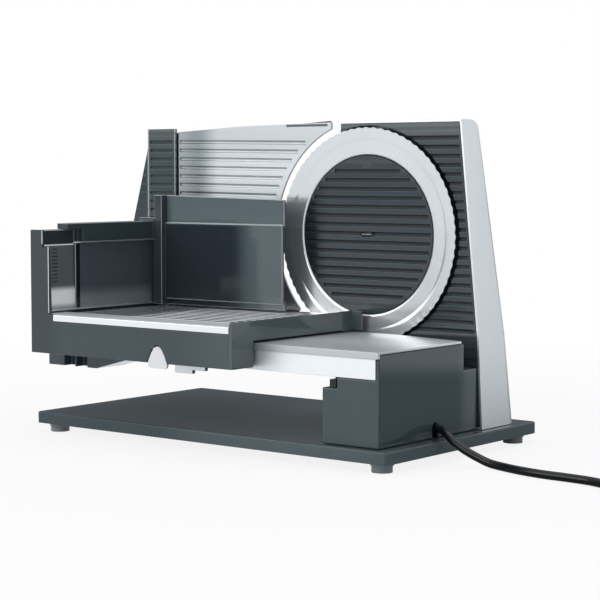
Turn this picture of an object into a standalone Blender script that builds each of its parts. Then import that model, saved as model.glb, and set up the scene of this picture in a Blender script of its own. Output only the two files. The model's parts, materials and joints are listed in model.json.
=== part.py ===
# Electric food slicer, built as separate pieces in metres, +Z up.
# The machine frame has X to the right along the rail, Y away from the food side, and Z = 0 on the base plate's top.
# The whole model hangs on one empty that puts the middle of its footprint at the world's origin, on the table.

import math

import bpy
import bmesh
from mathutils import Matrix, Vector

for stale in list(bpy.data.objects):
    bpy.data.objects.remove(stale, do_unlink=True)

MM = 0.001

# Clearances
GAP = 0.3 * MM
OVERRUN = 2.0 * MM

# Base plate and feet
PLATE_LENGTH = 353.2 * MM
PLATE_DEPTH = 203.4 * MM
PLATE_THICKNESS = 9.4 * MM
PLATE_CORNER = 3.0 * MM
PLATE_CHAMFER = 0.8 * MM
FOOT_HEIGHT = 7.0 * MM
FOOT_RADIUS = 8.6 * MM
FOOT_TOE_RADIUS = 7.8 * MM
FOOT_TOE_HEIGHT = 4.8 * MM
FOOT_INSET = 13.4 * MM

# Rail: sheet top, lip along its front edge and skirt below the lip
RAIL_HEIGHT = 69.5 * MM
RAIL_LENGTH = 335.7 * MM
RAIL_SHEET = 1.8 * MM
RAIL_TO_BLADE = 4.0 * MM
LIP_HEIGHT = 4.9 * MM
LIP_PROUD = 1.3 * MM
SKIRT_HEIGHT = 15.0 * MM
SKIRT_SHEET = 1.5 * MM
SKIRT_SHORT = 3.1 * MM
RAIL_SLANT_LENGTH = 66.0 * MM
RAIL_SLANT_DEPTH = 15.0 * MM

# Column under the rail's right end
COLUMN_TO_EDGE = 11.6 * MM
COLUMN_WIDTH = 50.8 * MM
COLUMN_TO_FRONT = 6.9 * MM
COLUMN_WALL = 2.6 * MM
GAP_NOTCH_HEIGHT = 20.3 * MM
GAP_NOTCH_DEPTH = 18.2 * MM
STEP_WIDTH = 13.2 * MM
STEP_HEIGHT = 8.3 * MM
STEP_DEPTH = 15.3 * MM
CATCH_DEPTH = 10.6 * MM
CATCH_SIDE = 0.4 * MM
CATCH_OFFSET = 6.8 * MM
CATCH_TOP_GAP = 2.0 * MM
CATCH_TRAVEL = 4.0 * MM

# Blade, its cover and its axle
BLADE_RADIUS = 85.0 * MM
BLADE_FROM_RIGHT = 103.4 * MM
BLADE_HEIGHT = 146.7 * MM
BLADE_PLANE = 30.0 * MM
BLADE_SHEET = 1.5 * MM
BLADE_EDGE = 0.4 * MM
BEVEL_WIDTH = 9.5 * MM
BEVEL_DROP = 1.0 * MM
RING_DROP = 1.6 * MM
DISH_DEPTH = 8.0 * MM
DISH_FILLET = 2.0 * MM
WEB_BORE = 13.0 * MM
COVER_RADIUS = 62.7 * MM
COVER_DROP = 1.8 * MM
COVER_THICKNESS = 2.8 * MM
COVER_CLEARANCE = 0.5 * MM
COVER_MARGIN = 1.6 * MM
COVER_GROOVES = 15
COVER_GROOVE_SHIFT = 0.9 * MM
GROOVE_PITCH = 7.06 * MM
GROOVE_WIDTH = 3.3 * MM
GROOVE_FLOOR = 1.3 * MM
GROOVE_DEPTH = 1.1 * MM
LOCK_SLOT_LENGTH = 15.6 * MM
LOCK_SLOT_HEIGHT = 4.6 * MM
LOCK_SIDE_GAP = 0.4 * MM
LOCK_TILT = math.radians(25.0)
LOCK_THICKNESS = 2.3 * MM
SLEEVE_WALL = 2.5 * MM
AXLE_RADIUS = 5.0 * MM
AXLE_HEAD_RADIUS = 9.5 * MM
AXLE_HEAD_LENGTH = 2.6 * MM
BUSH_WALL = 2.0 * MM
SCREW_COUNT = 3
SCREW_CIRCLE = 17.0 * MM
SCREW_HEAD_RADIUS = 3.2 * MM
SCREW_HEAD_HEIGHT = 2.2 * MM
SCREW_RADIUS = 1.6 * MM
SCREW_REACH = 1.6 * MM

# Worm gear on the blade's hub
GEAR_TEETH = 48
GEAR_MODULE = 1.25 * MM
GEAR_WIDTH = 8.0 * MM
GEAR_BEHIND_PLANE = 25.5 * MM
GEAR_BACKLASH = 0.5 * MM
TOOTH_ADDENDUM = 1.0 * MM
TOOTH_DEDENDUM = 1.5 * MM
TOOTH_FLANK = math.radians(20.0)
HUB_RADIUS = 13.0 * MM
HUB_FLANGE_RADIUS = 21.0 * MM
HUB_FLANGE = 2.2 * MM
HUB_SIDE_GAP = 0.8 * MM
HUB_TAIL = 1.0 * MM
WORM_RADIUS = 8.0 * MM
WORM_TURNS = 6
WORM_SEGMENTS = 16

# Tower: silver shell and dark front panel
TOWER_ABOVE_BLADE = 89.8 * MM
TOWER_FACE = 3.0 * MM
TOWER_LEFT_FROM_BLADE = 28.6 * MM
TOWER_BULGE = 58.0 * MM
TOWER_PROUD_FOOT = 5.0 * MM
TOWER_SHOULDER_HEIGHT = 71.0 * MM
TOWER_SHOULDER_IN = 3.8 * MM
TOWER_TOP_IN = 20.8 * MM
TOWER_FOOT_DEPTH = 51.4 * MM
TOWER_TOP_DEPTH = 28.0 * MM
TOWER_ROUND = 12.0 * MM
TOWER_CROWN = 7.5 * MM
tower_crown_share = 0.32
SHELL_WALL = 1.8 * MM
PANEL_WALL = 2.5 * MM
RECESS_MARGIN = 1.3 * MM
RECESS_FLOOR_GAP = 2.8 * MM
PANEL_GROOVE_TOP = 13.8 * MM
PANEL_GROOVE_PITCH = 7.05 * MM
PANEL_GROOVE_END = 1.8 * MM

# Gearbox plate behind the gear
BOX_PLATE_THICKNESS = 3.0 * MM
BOX_PLATE_LEFT = 35.0 * MM
BOX_PLATE_HALF_HEIGHT = 31.0 * MM
BOX_PLATE_RIGHT = 20.0 * MM
BOX_POST_RADIUS = 4.0 * MM
BOX_POST_IN = 5.0 * MM
WORM_WINDOW_SIDE = 1.5 * MM
BEARING_RADIUS = 6.0 * MM
BEARING_LENGTH = 8.0 * MM
BEARING_ABOVE_WORM = 4.0 * MM
BLOCK_HALF_WIDTH = 9.6 * MM

# Motor, standing in the tower's foot
MOTOR_RADIUS = 18.0 * MM
MOTOR_WALL = 2.0 * MM
MOTOR_UNDER_RECESS = 3.6 * MM
BELL_THICKNESS = 3.0 * MM
BELL_BOSS_RADIUS = 6.0 * MM
BELL_BOSS_LENGTH = 3.0 * MM
SHAFT_RADIUS = 2.5 * MM
SHAFT_ABOVE_BEARING = 2.0 * MM
ROTOR_RADIUS = 12.5 * MM
rotor_length_share = 0.57
rotor_lift_share = 0.175
COMMUTATOR_RADIUS = 5.0 * MM
commutator_length_share = 0.13
MAGNET_GAP = 0.6 * MM
MAGNET_HALF_ANGLE = math.radians(62.0)

# On and off button at the tower's rear
BUTTON_RADIUS = 7.0 * MM
BUTTON_LENGTH = 6.0 * MM
BUTTON_PROUD = 3.2 * MM
BUTTON_TRAVEL = 2.5 * MM
BUTTON_SIDE_GAP = 0.4 * MM
BUTTON_FROM_BLADE = 66.0 * MM
BUTTON_ABOVE_BLADE = 48.0 * MM
SWITCH_HALF_WIDTH = 9.0 * MM
SWITCH_HALF_HEIGHT = 11.0 * MM

# Beam under the rail, its end block and its bracket
BEAM_DEPTH = 15.4 * MM
DECK_LENGTH = 110.0 * MM
BLOCK_LENGTH = 54.0 * MM
BLOCK_SLOPE_LENGTH = 34.0 * MM
BLOCK_DROP = 13.3 * MM
BLOCK_SLOPE_DROP = 4.3 * MM
BLOCK_DEPTH = 32.0 * MM
BLOCK_SLOT_WIDTH = 12.0 * MM
BLOCK_SLOT_DEPTH = 8.0 * MM
BLOCK_SLOT_START = 18.2 * MM
BLOCK_SLOT_PITCH = 13.8 * MM
BRACKET_FROM_LEFT = 139.7 * MM
BRACKET_LENGTH = 31.0 * MM
BRACKET_DROP = 8.2 * MM
BRACKET_EXTRA = 2.2 * MM
BRACKET_LOW_LENGTH = 18.0 * MM
BRACKET_RISE = 2.9 * MM
BRACKET_THICKNESS = 4.0 * MM

# Stop plate, its carrier and the frame they slide in
STOP_ARC_GAP = 5.5 * MM
STOP_SHEET = 1.8 * MM
STOP_LEFT_ABOVE_BLADE = 83.6 * MM
STOP_MIDDLE_ABOVE_BLADE = 87.3 * MM
STOP_RIGHT_ABOVE_BLADE = 89.3 * MM
STOP_MIDDLE_IN = 69.0 * MM
STOP_END_FROM_BLADE = 34.2 * MM
STOP_GROOVE_END = 6.0 * MM
STOP_BOTTOM_LIFT = 2.2 * MM
stop_corner_height_share = 0.167
STOP_CORNER_CUT = 9.0 * MM
STOP_GROOVE_ABOVE_BLADE = 75.2 * MM
STOP_GROOVE_PITCH = 7.28 * MM
STOP_GROOVE_TILT = math.radians(0.9)
STOP_GROOVE_MARGIN = 1.4 * MM
STOP_TRAVEL = 20.0 * MM
CARRIER_SHEET = 3.0 * MM
CARRIER_ARC_BACK = 3.5 * MM
CARRIER_CREST = 1.2 * MM
CARRIER_CREST_LENGTH = 38.0 * MM
ARM_LENGTH = 29.0 * MM
ARM_OVERLAP = 4.0 * MM
ARM_HALF_HEIGHT = 8.0 * MM
ARM_DEPTH = 11.0 * MM
ROD_RADIUS = 4.0 * MM
ROD_LOW = 100.0 * MM
ROD_HIGH = 190.0 * MM
ROD_IN = 17.5 * MM
FRAME_STRIP_WIDTH = 32.1 * MM
FRAME_TO_PLATE = 3.9 * MM
CARRIER_BESIDE = 3.4 * MM
STRIP_EDGE = 3.0 * MM
FRAME_FROM_BLADE = 235.1 * MM
FRAME_ABOVE_BLADE = 86.5 * MM
FRAME_DEPTH = 39.0 * MM
FRAME_WALL = 2.6 * MM
FRAME_REAR_LENGTH = 115.5 * MM
FRAME_REAR_TOP = 205.0 * MM
FRAME_TOP_DEPTH = 16.0 * MM
WING_ABOVE_BLADE = 70.3 * MM
WING_MIDDLE_ABOVE_BLADE = 7.8 * MM
WING_REACH = 17.4 * MM
WING_LOW = 110.0 * MM
WING_FOOT = 90.0 * MM
KNOB_RADIUS = 21.0 * MM
KNOB_LENGTH = 17.0 * MM
KNOB_RIM = 2.0 * MM
KNOB_HEIGHT = 145.0 * MM
KNOB_BORE_LENGTH = 11.0 * MM
KNOB_TURN = math.radians(300.0)

# Carriage
CARRIAGE_TRAVEL = 165.0 * MM
CARRIAGE_FRONT = 26.1 * MM
CARRIAGE_LIP_GAP = 1.2 * MM
CARRIAGE_LENGTH = 212.1 * MM
CARRIAGE_FROM_BLADE = 9.5 * MM
CARRIAGE_TO_BLADE = 3.0 * MM
BAR_TOP = 77.5 * MM
BAR_BOTTOM = 51.6 * MM
POST_WIDTH = 20.0 * MM
POST_FLARE = 1.5 * MM
POST_FOOT = 3.1 * MM
POST_TOP_WIDTH = 13.4 * MM
POST_SHOULDER = 136.0 * MM
POST_TOP = 150.2 * MM
POST_DEPTH = 2.6 * MM
ARCH_CENTRE_FROM_RIGHT = 75.2 * MM
ARCH_HALF_WIDTH = 10.4 * MM
ARCH_HEIGHT = 13.7 * MM
LEVER_SHEET = 2.2 * MM
LEVER_INSET = 0.9 * MM
LEVER_SIDE_GAP = 0.5 * MM
LEVER_TOP_GAP = 0.9 * MM
LEVER_DROP = 4.0 * MM
LEVER_CORNER = 3.2 * MM
LEVER_PIVOT_DROP = 2.4 * MM
LEVER_PIN_RADIUS = 0.8 * MM
LEVER_PIN_HALF = 6.5 * MM
LEVER_TILT = math.radians(15.0)
DECK_LIFT = 1.7 * MM
DECK_TOP = 81.3 * MM
RIGHT_WALL = 3.0 * MM
RIGHT_WALL_TOP = 86.2 * MM
RIGHT_FLANGE = 9.4 * MM
RIGHT_FLANGE_THICKNESS = 2.5 * MM
LEFT_WALL = 10.0 * MM
LEFT_WALL_TOP = 84.0 * MM
RIGHT_FRONT_TOP = 85.4 * MM
TRAY_SHEET = 1.2 * MM
TRAY_LIP_SHEET = 1.2 * MM
WINDOW_LENGTH = 37.1 * MM
WINDOW_SHEET = 2.0 * MM
WINDOW_TOP = 137.4 * MM
CAP_WIDTH = 9.8 * MM
CAP_TOP = 149.8 * MM
SIDE_SHEET = 2.8 * MM
SIDE_TOP = 138.8 * MM
TOP_RAIL_TOP = 154.8 * MM
TOP_RAIL_WIDTH = 12.0 * MM
TOP_RAIL_INSIDE = 5.0 * MM
TOP_RAIL_TONGUE = 17.3 * MM
TOP_RAIL_BEHIND_WINDOW = 3.9 * MM
TOP_RAIL_NECK_IN = 5.5 * MM
CAP_SHORT = 1.3 * MM
SHOE_LENGTH = 40.0 * MM
SHOE_HEIGHT = 6.3 * MM
SHOE_INSET = 12.0 * MM
GLIDE_WIDTH = 6.0 * MM
GLIDE_THICKNESS = 1.1 * MM
GLIDE_INSET = 15.0 * MM

# Pusher
PUSHER_FACE = 22.0 * MM
PUSHER_SHEET = 2.5 * MM
PUSHER_STEP = 2.6 * MM
PUSHER_TOP_LEFT = 176.6 * MM
PUSHER_TOP_RIGHT = 173.8 * MM
PUSHER_LEDGE = 153.4 * MM
PUSHER_LEDGE_THICKNESS = 2.0 * MM
PUSHER_RIGHT_SHORT = 57.6 * MM
PUSHER_FLOOR_GAP = 1.2 * MM
PUSHER_LOW_LEDGE = 91.0 * MM
COLUMN_FROM_WALL = 8.0 * MM
COLUMN_THICK = 8.0 * MM
COLUMN_WEB = 2.5 * MM
COLUMN_HALF_DEPTH = 7.0 * MM
COLUMN_BEHIND_FACE = 3.0 * MM
HOOK_THICKNESS = 2.4 * MM
PUSHER_FORWARD = 86.0 * MM
PUSHER_BACK = 9.0 * MM

# Mains lead: where it leaves, its strain relief and clamp
CORD_DIAMETER = 6.2 * MM
CORD_EXIT_BACK = 71.8 * MM
CORD_EXIT_HEIGHT = 8.0 * MM
CORD_SLOT_SIDE = 0.5 * MM
RELIEF_RADIUS = 5.0 * MM
RELIEF_TIP_RADIUS = 3.9 * MM
RELIEF_LENGTH = 24.0 * MM
RELIEF_STRAIGHT = 8.0 * MM
CLAMP_LENGTH = 10.0 * MM
CLAMP_OVERHANG = 3.0 * MM
CLAMP_HALF_WIDTH = 8.0 * MM

# Coil of the length that lies put away, and the plug
COIL_LAYER_TURNS = 2.5
COIL_LOOP_SEGMENTS = 24
COIL_MIDDLE_RADIUS = 34.0 * MM
COIL_SPACING = 6.75 * MM
COIL_LAYER_RISE = 6.75 * MM
TABLE_CLEAR = 0.05 * MM
PLUG_LENGTH = 36.0 * MM
PLUG_WIDTH = 35.0 * MM
PLUG_TIP_WIDTH = 26.0 * MM
PLUG_THICKNESS = 13.6 * MM
PLUG_TAIL_LENGTH = 16.0 * MM
PLUG_TAIL_RADIUS = 4.6 * MM
PIN_RADIUS = 2.0 * MM
PIN_LENGTH = 19.0 * MM
PIN_SPACING = 18.6 * MM
PIN_SEAT = 6.0 * MM

# Smoothness of round pieces
ROUND_STEPS = 32
SMALL_STEPS = 16
BLADE_STEPS = 64
PIN_STEPS = 12
CROWN_STEPS = 5
BULGE_STEPS = 20
ROUNDING_STEPS = 3
LENS_STEPS = 6
STOP_ARC_STEPS = 30
ARCH_STEPS = 16
SMOOTH_ANGLE = math.radians(32.0)

# Places that follow from the sizes above
TABLE = -PLATE_THICKNESS - FOOT_HEIGHT
RIGHT_FACE = PLATE_LENGTH / 2 - COLUMN_TO_EDGE
COLUMN_LEFT = RIGHT_FACE - COLUMN_WIDTH
COLUMN_FACE = COLUMN_TO_FRONT - PLATE_DEPTH / 2
SKIRT_FACE = COLUMN_FACE - 2 * GAP / 3
LIP_FACE = SKIRT_FACE - LIP_PROUD
RAIL_LEFT = RIGHT_FACE - RAIL_LENGTH
RAIL_UNDER = RAIL_HEIGHT - RAIL_SHEET
RAIL_REAR = BLADE_PLANE - RAIL_TO_BLADE
LIP_BOTTOM = RAIL_HEIGHT - LIP_HEIGHT
SKIRT_BOTTOM = LIP_BOTTOM - SKIRT_HEIGHT
BLADE_X = RIGHT_FACE - BLADE_FROM_RIGHT
TOWER_FRONT = BLADE_PLANE + TOWER_FACE
TOWER_HEIGHT = BLADE_HEIGHT + TOWER_ABOVE_BLADE
PANEL_GROOVES = 1 + int((TOWER_HEIGHT - PANEL_GROOVE_TOP - RAIL_HEIGHT) / PANEL_GROOVE_PITCH)
TOWER_LEFT = BLADE_X - TOWER_LEFT_FROM_BLADE
WEB_FRONT = BLADE_PLANE + DISH_DEPTH
WEB_BACK = WEB_FRONT + BLADE_SHEET
RECESS_FLOOR = WEB_BACK + RECESS_FLOOR_GAP
RECESS_BACK = RECESS_FLOOR + PANEL_WALL
DISH_RADIUS = COVER_RADIUS + COVER_CLEARANCE
COVER_FACE = BLADE_PLANE + COVER_DROP
COVER_BACK = COVER_FACE + COVER_THICKNESS
LOCK_MIDDLE = COVER_FACE + LOCK_THICKNESS / 2
AXLE_HEAD_FACE = COVER_BACK + GAP + LOCK_THICKNESS + GAP
AXLE_HEAD_BACK = AXLE_HEAD_FACE + AXLE_HEAD_LENGTH
HUB_FACE = WEB_BACK + GAP
HUB_SEAT = AXLE_HEAD_BACK + GAP
GEAR_MIDDLE = BLADE_PLANE + GEAR_BEHIND_PLANE
GEAR_FRONT = GEAR_MIDDLE - GEAR_WIDTH / 2
GEAR_BACK = GEAR_MIDDLE + GEAR_WIDTH / 2
HUB_BACK = GEAR_BACK + HUB_TAIL
BOX_PLATE_FRONT = HUB_BACK + 2 * GAP
BOX_PLATE_BACK = BOX_PLATE_FRONT + BOX_PLATE_THICKNESS
GEAR_PITCH_RADIUS = GEAR_TEETH * GEAR_MODULE / 2
WORM_X = BLADE_X + GEAR_PITCH_RADIUS + WORM_RADIUS
WORM_LEAD = math.pi * GEAR_MODULE
WORM_HALF = WORM_TURNS * WORM_LEAD / 2
BUSH_RADIUS = AXLE_RADIUS + GAP + BUSH_WALL
SHELL_FLOOR = GAP
MOTOR_BOTTOM = SHELL_FLOOR + SHELL_WALL + GAP
RECESS_BOTTOM = BLADE_HEIGHT - BLADE_RADIUS - RECESS_MARGIN - PANEL_WALL
MOTOR_TOP = RECESS_BOTTOM - MOTOR_UNDER_RECESS - BELL_BOSS_LENGTH - BELL_THICKNESS - GAP
MOTOR_LENGTH = MOTOR_TOP - MOTOR_BOTTOM
ROTOR_LENGTH = MOTOR_LENGTH * rotor_length_share
ROTOR_BOTTOM = MOTOR_BOTTOM + MOTOR_WALL + MOTOR_LENGTH * rotor_lift_share
BEARING_BOTTOM = BLADE_HEIGHT + WORM_HALF + BEARING_ABOVE_WORM
BEARING_TOP = BEARING_BOTTOM + BEARING_LENGTH
BEAM_TOP = RAIL_UNDER - GAP
BEAM_BOTTOM = BEAM_TOP - BEAM_DEPTH
BEAM_FRONT = SKIRT_FACE + SKIRT_SHEET + GAP
FRAME_LEFT = BLADE_X - FRAME_FROM_BLADE
FRAME_RIGHT = FRAME_LEFT + FRAME_STRIP_WIDTH
FRAME_BOTTOM = BEAM_TOP + GAP
FRAME_BACK = BLADE_PLANE + FRAME_DEPTH
FRAME_TOP = BLADE_HEIGHT + FRAME_ABOVE_BLADE
WING_TOP = BLADE_HEIGHT + WING_ABOVE_BLADE
WING_MIDDLE = BLADE_HEIGHT + WING_MIDDLE_ABOVE_BLADE
STOP_LEFT = FRAME_RIGHT + FRAME_TO_PLATE
STOP_LEFT_TOP = BLADE_HEIGHT + STOP_LEFT_ABOVE_BLADE
STOP_MIDDLE_TOP = BLADE_HEIGHT + STOP_MIDDLE_ABOVE_BLADE
STOP_RIGHT_TOP = BLADE_HEIGHT + STOP_RIGHT_ABOVE_BLADE
STOP_GROOVE_TOP = BLADE_HEIGHT + STOP_GROOVE_ABOVE_BLADE
STOP_BOTTOM = FRAME_BOTTOM + FRAME_WALL + STOP_BOTTOM_LIFT
STOP_CORNER_HEIGHT = STOP_BOTTOM + (BLADE_HEIGHT - STOP_BOTTOM) * stop_corner_height_share
STOP_GROOVES = int((STOP_GROOVE_TOP - STOP_CORNER_HEIGHT) / STOP_GROOVE_PITCH)
STOP_RADIUS = BLADE_RADIUS + STOP_ARC_GAP
CARRIER_FRONT = BLADE_PLANE + STOP_SHEET + GAP
CARRIER_BACK = CARRIER_FRONT + CARRIER_SHEET
ROD_X = FRAME_LEFT + ROD_IN
CARRIAGE_RIGHT = BLADE_X - CARRIAGE_FROM_BLADE
CARRIAGE_LEFT = CARRIAGE_RIGHT - CARRIAGE_LENGTH
BAR_BACK = LIP_FACE - CARRIAGE_LIP_GAP
ARCH_CENTRE = CARRIAGE_RIGHT - ARCH_CENTRE_FROM_RIGHT
LEVER_PIVOT = BAR_BOTTOM + ARCH_HEIGHT - LEVER_PIVOT_DROP
CARRIAGE_FACE = LIP_FACE - CARRIAGE_FRONT
LEVER_MIDDLE = CARRIAGE_FACE + LEVER_INSET + LEVER_SHEET / 2
CARRIAGE_BACK = BLADE_PLANE - CARRIAGE_TO_BLADE
DECK_BOTTOM = RAIL_HEIGHT + DECK_LIFT
WALL_INNER = CARRIAGE_LEFT + LEFT_WALL
TRAY_TOP = DECK_TOP + GAP + TRAY_SHEET
WINDOW_FRONT = CARRIAGE_FACE + POST_DEPTH + GAP
WINDOW_BACK = WINDOW_FRONT + WINDOW_LENGTH
SIDE_BOTTOM = LEFT_WALL_TOP + GAP
PUSHER_FRONT = BLADE_PLANE - PUSHER_FACE
PUSHER_BOTTOM = TRAY_TOP + PUSHER_FLOOR_GAP
BUTTON_X = BLADE_X + BUTTON_FROM_BLADE
BUTTON_Z = BLADE_HEIGHT + BUTTON_ABOVE_BLADE
CORD_RADIUS = CORD_DIAMETER / 2
CORD_EXIT_Y = COLUMN_FACE + CORD_EXIT_BACK
CORD_LEVEL = TABLE + CORD_RADIUS + TABLE_CLEAR
RELIEF_END = RIGHT_FACE - COLUMN_WALL - GAP
RELIEF_START = RELIEF_END - RELIEF_LENGTH

# The footprint's middle, without the mains lead, is the world's origin
WEST = FRAME_LEFT - WING_REACH
EAST = PLATE_LENGTH / 2
SOUTH = CARRIAGE_FACE
NORTH = PLATE_DEPTH / 2
MIDDLE_X = (WEST + EAST) / 2
MIDDLE_Y = (SOUTH + NORTH) / 2


# Materials

def material(name, colour, roughness, metallic=0.0, alpha=1.0):
    made = bpy.data.materials.new(name)
    made.use_nodes = True
    shader = made.node_tree.nodes["Principled BSDF"]
    shader.inputs["Base Color"].default_value = (*colour, 1.0)
    shader.inputs["Roughness"].default_value = roughness
    shader.inputs["Metallic"].default_value = metallic
    shader.inputs["Alpha"].default_value = alpha
    made.diffuse_color = (*colour, alpha)
    return made


ANTHRACITE = material("anthracite_plastic", (0.060, 0.078, 0.088), 0.32)
GLOSS_PLATE = material("gloss_plate", (0.050, 0.066, 0.075), 0.18)
BLACK = material("black_plastic", (0.012, 0.013, 0.015), 0.45)
SILVER = material("satin_aluminium", (0.62, 0.64, 0.65), 0.34, 0.9)
STEEL = material("polished_steel", (0.72, 0.74, 0.76), 0.14, 1.0)
SMOKE = material("smoke_plastic", (0.030, 0.037, 0.045), 0.10, 0.0, 0.75)
CLEAR = material("clear_plastic", (0.55, 0.60, 0.62), 0.06, 0.0, 0.30)
RUBBER = material("grey_rubber", (0.090, 0.095, 0.100), 0.70)
BRASS = material("brass", (0.70, 0.55, 0.28), 0.30, 1.0)
GEAR_PLASTIC = material("gear_plastic", (0.70, 0.68, 0.60), 0.45)
MAGNET = material("magnet", (0.080, 0.080, 0.085), 0.60)


# Empties that carry the pieces: the machine, and one for each thing that moves

def empty(name, place, parent=None):
    made = bpy.data.objects.new(name, None)
    bpy.context.scene.collection.objects.link(made)
    made.location = place
    made.parent = parent
    return made


MACHINE = empty("machine_frame", (-MIDDLE_X, -MIDDLE_Y, -TABLE))
BLADE_AXIS = empty("blade_axis", (BLADE_X, BLADE_PLANE, BLADE_HEIGHT), MACHINE)
MOTOR_AXIS = empty("motor_axis", (WORM_X, GEAR_MIDDLE, BLADE_HEIGHT), MACHINE)
LOCK_AXIS = empty("lock_axis", (0, LOCK_MIDDLE - BLADE_PLANE, 0), BLADE_AXIS)
STOP_SLIDE = empty("stop_slide", (STOP_LEFT, BLADE_PLANE, STOP_BOTTOM), MACHINE)
KNOB_AXIS = empty("knob_axis", (ROD_X, FRAME_BACK, KNOB_HEIGHT), MACHINE)
BUTTON_SLIDE = empty("button_slide", (BUTTON_X, TOWER_FRONT, BUTTON_Z), MACHINE)
CATCH_SLIDE = empty("catch_slide", (COLUMN_LEFT, COLUMN_FACE, SKIRT_BOTTOM), MACHINE)
CARRIAGE = empty("carriage_slide", (CARRIAGE_LEFT, CARRIAGE_FACE, RAIL_HEIGHT), MACHINE)
PUSHER_PLACE = (WALL_INNER - CARRIAGE_LEFT, PUSHER_FRONT - CARRIAGE_FACE, TRAY_TOP - RAIL_HEIGHT)
PUSHER = empty("pusher_slide", PUSHER_PLACE, CARRIAGE)
LEVER_PLACE = (ARCH_CENTRE - CARRIAGE_LEFT, LEVER_MIDDLE - CARRIAGE_FACE, LEVER_PIVOT - RAIL_HEIGHT)
LEVER_AXIS = empty("lever_axis", LEVER_PLACE, CARRIAGE)

# How far each moves from where it stands, in metres or radians
TRAVELS = [
    (LOCK_AXIS, 0.0, LOCK_TILT),
    (STOP_SLIDE, 0.0, STOP_TRAVEL),
    (KNOB_AXIS, 0.0, KNOB_TURN),
    (BUTTON_SLIDE, 0.0, BUTTON_TRAVEL),
    (CATCH_SLIDE, 0.0, CATCH_TRAVEL),
    (CARRIAGE, 0.0, CARRIAGE_TRAVEL),
    (PUSHER, -PUSHER_BACK, PUSHER_FORWARD),
    (LEVER_AXIS, 0.0, LEVER_TILT),
]
for mover, least, greatest in TRAVELS:
    mover["least"] = least
    mover["greatest"] = greatest


# Shapes: each returns points and faces in the machine frame

def box(low, high):
    x0, y0, z0 = low
    x1, y1, z1 = high
    return prism([(x0, y0), (x1, y0), (x1, y1), (x0, y1)], "z", z0, z1)


def prism(outline, axis, start, end):
    def point(u, v, along):
        return {"x": (along, u, v), "y": (u, along, v), "z": (u, v, along)}[axis]
    count = len(outline)
    points = [point(u, v, start) for u, v in outline] + [point(u, v, end) for u, v in outline]
    faces = [tuple(range(count)), tuple(range(count, 2 * count))]
    for i in range(count):
        j = (i + 1) % count
        faces.append((i, j, count + j, count + i))
    return points, faces


def turned(profile, axis, centre, steps, closed=False):
    """Turn (radius, place along the axis) pairs round an axis; closed joins the last pair to the first."""
    def point(radius, along, angle):
        u = radius * math.cos(angle)
        v = radius * math.sin(angle)
        if axis == "x":
            return (along, centre[1] + u, centre[2] + v)
        if axis == "y":
            return (centre[0] + u, along, centre[2] + v)
        return (centre[0] + u, centre[1] + v, along)
    points = []
    rings = []
    for radius, along in profile:
        if radius == 0:
            rings.append([len(points)] * steps)
            points.append(point(0, along, 0))
        else:
            rings.append([len(points) + i for i in range(steps)])
            points += [point(radius, along, 2 * math.pi * i / steps) for i in range(steps)]
    pairs = list(zip(rings, rings[1:]))
    if closed:
        pairs.append((rings[-1], rings[0]))
    faces = []
    for lower, upper in pairs:
        for i in range(steps):
            j = (i + 1) % steps
            corners = []
            for corner in (lower[i], lower[j], upper[j], upper[i]):
                if corner not in corners:
                    corners.append(corner)
            faces.append(tuple(corners))
    return points, faces


def cylinder(radius, axis, centre, start, end, steps=ROUND_STEPS):
    return turned([(0, start), (radius, start), (radius, end), (0, end)], axis, centre, steps)


def tube(inner, outer, axis, centre, start, end, steps=ROUND_STEPS):
    profile = [(inner, start), (outer, start), (outer, end), (inner, end)]
    return turned(profile, axis, centre, steps, closed=True)


def arc(centre, radius, start, end, steps):
    points = []
    for i in range(steps + 1):
        angle = start + (end - start) * i / steps
        points.append((centre[0] + radius * math.cos(angle), centre[1] + radius * math.sin(angle)))
    return points


def rounded_box_outline(low, high, radius, steps=4):
    x0, y0 = low
    x1, y1 = high
    quarter = math.pi / 2
    return (arc((x1 - radius, y0 + radius), radius, -quarter, 0, steps)
            + arc((x1 - radius, y1 - radius), radius, 0, quarter, steps)
            + arc((x0 + radius, y1 - radius), radius, quarter, 2 * quarter, steps)
            + arc((x0 + radius, y0 + radius), radius, 2 * quarter, 3 * quarter, steps))


def inset(outline, distance):
    """Move each side of an anticlockwise outline inwards by the same distance."""
    count = len(outline)
    moved = []
    for i in range(count):
        before = Vector(outline[i - 1])
        here = Vector(outline[i])
        after = Vector(outline[(i + 1) % count])
        first = (here - before).normalized()
        second = (after - here).normalized()
        normal_a = Vector((-first.y, first.x))
        normal_b = Vector((-second.y, second.x))
        bisector = (normal_a + normal_b).normalized()
        moved.append(tuple(here + bisector * (distance / max(bisector.dot(normal_a), 0.5))))
    return moved


def loft(levels, axis):
    """Join outlines of equally many points, each at its own place along an axis, into one closed solid."""
    def point(u, v, along):
        return {"x": (along, u, v), "y": (u, along, v), "z": (u, v, along)}[axis]
    count = len(levels[0][0])
    points = []
    faces = [tuple(range(count))]
    for outline, along in levels:
        points += [point(u, v, along) for u, v in outline]
    for level in range(len(levels) - 1):
        start = level * count
        for i in range(count):
            j = (i + 1) % count
            faces.append((start + i, start + j, start + count + j, start + count + i))
    last = (len(levels) - 1) * count
    faces.append(tuple(range(last, last + count)))
    return points, faces


def groove(start, end, height, face, fall=0.0):
    """A tapered groove along X in a face towards the food side; fall is its drop for each unit of length."""
    wide = GROOVE_WIDTH / 2
    narrow = GROOVE_FLOOR / 2
    outline = [(face - OVERRUN, height - wide), (face, height - wide), (face + GROOVE_DEPTH, height - narrow),
               (face + GROOVE_DEPTH, height + narrow), (face, height + wide), (face - OVERRUN, height + wide)]
    points, faces = prism(outline, "x", start, end)
    return [(x, y, z - (x - start) * fall) for x, y, z in points], faces


# Pieces

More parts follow.
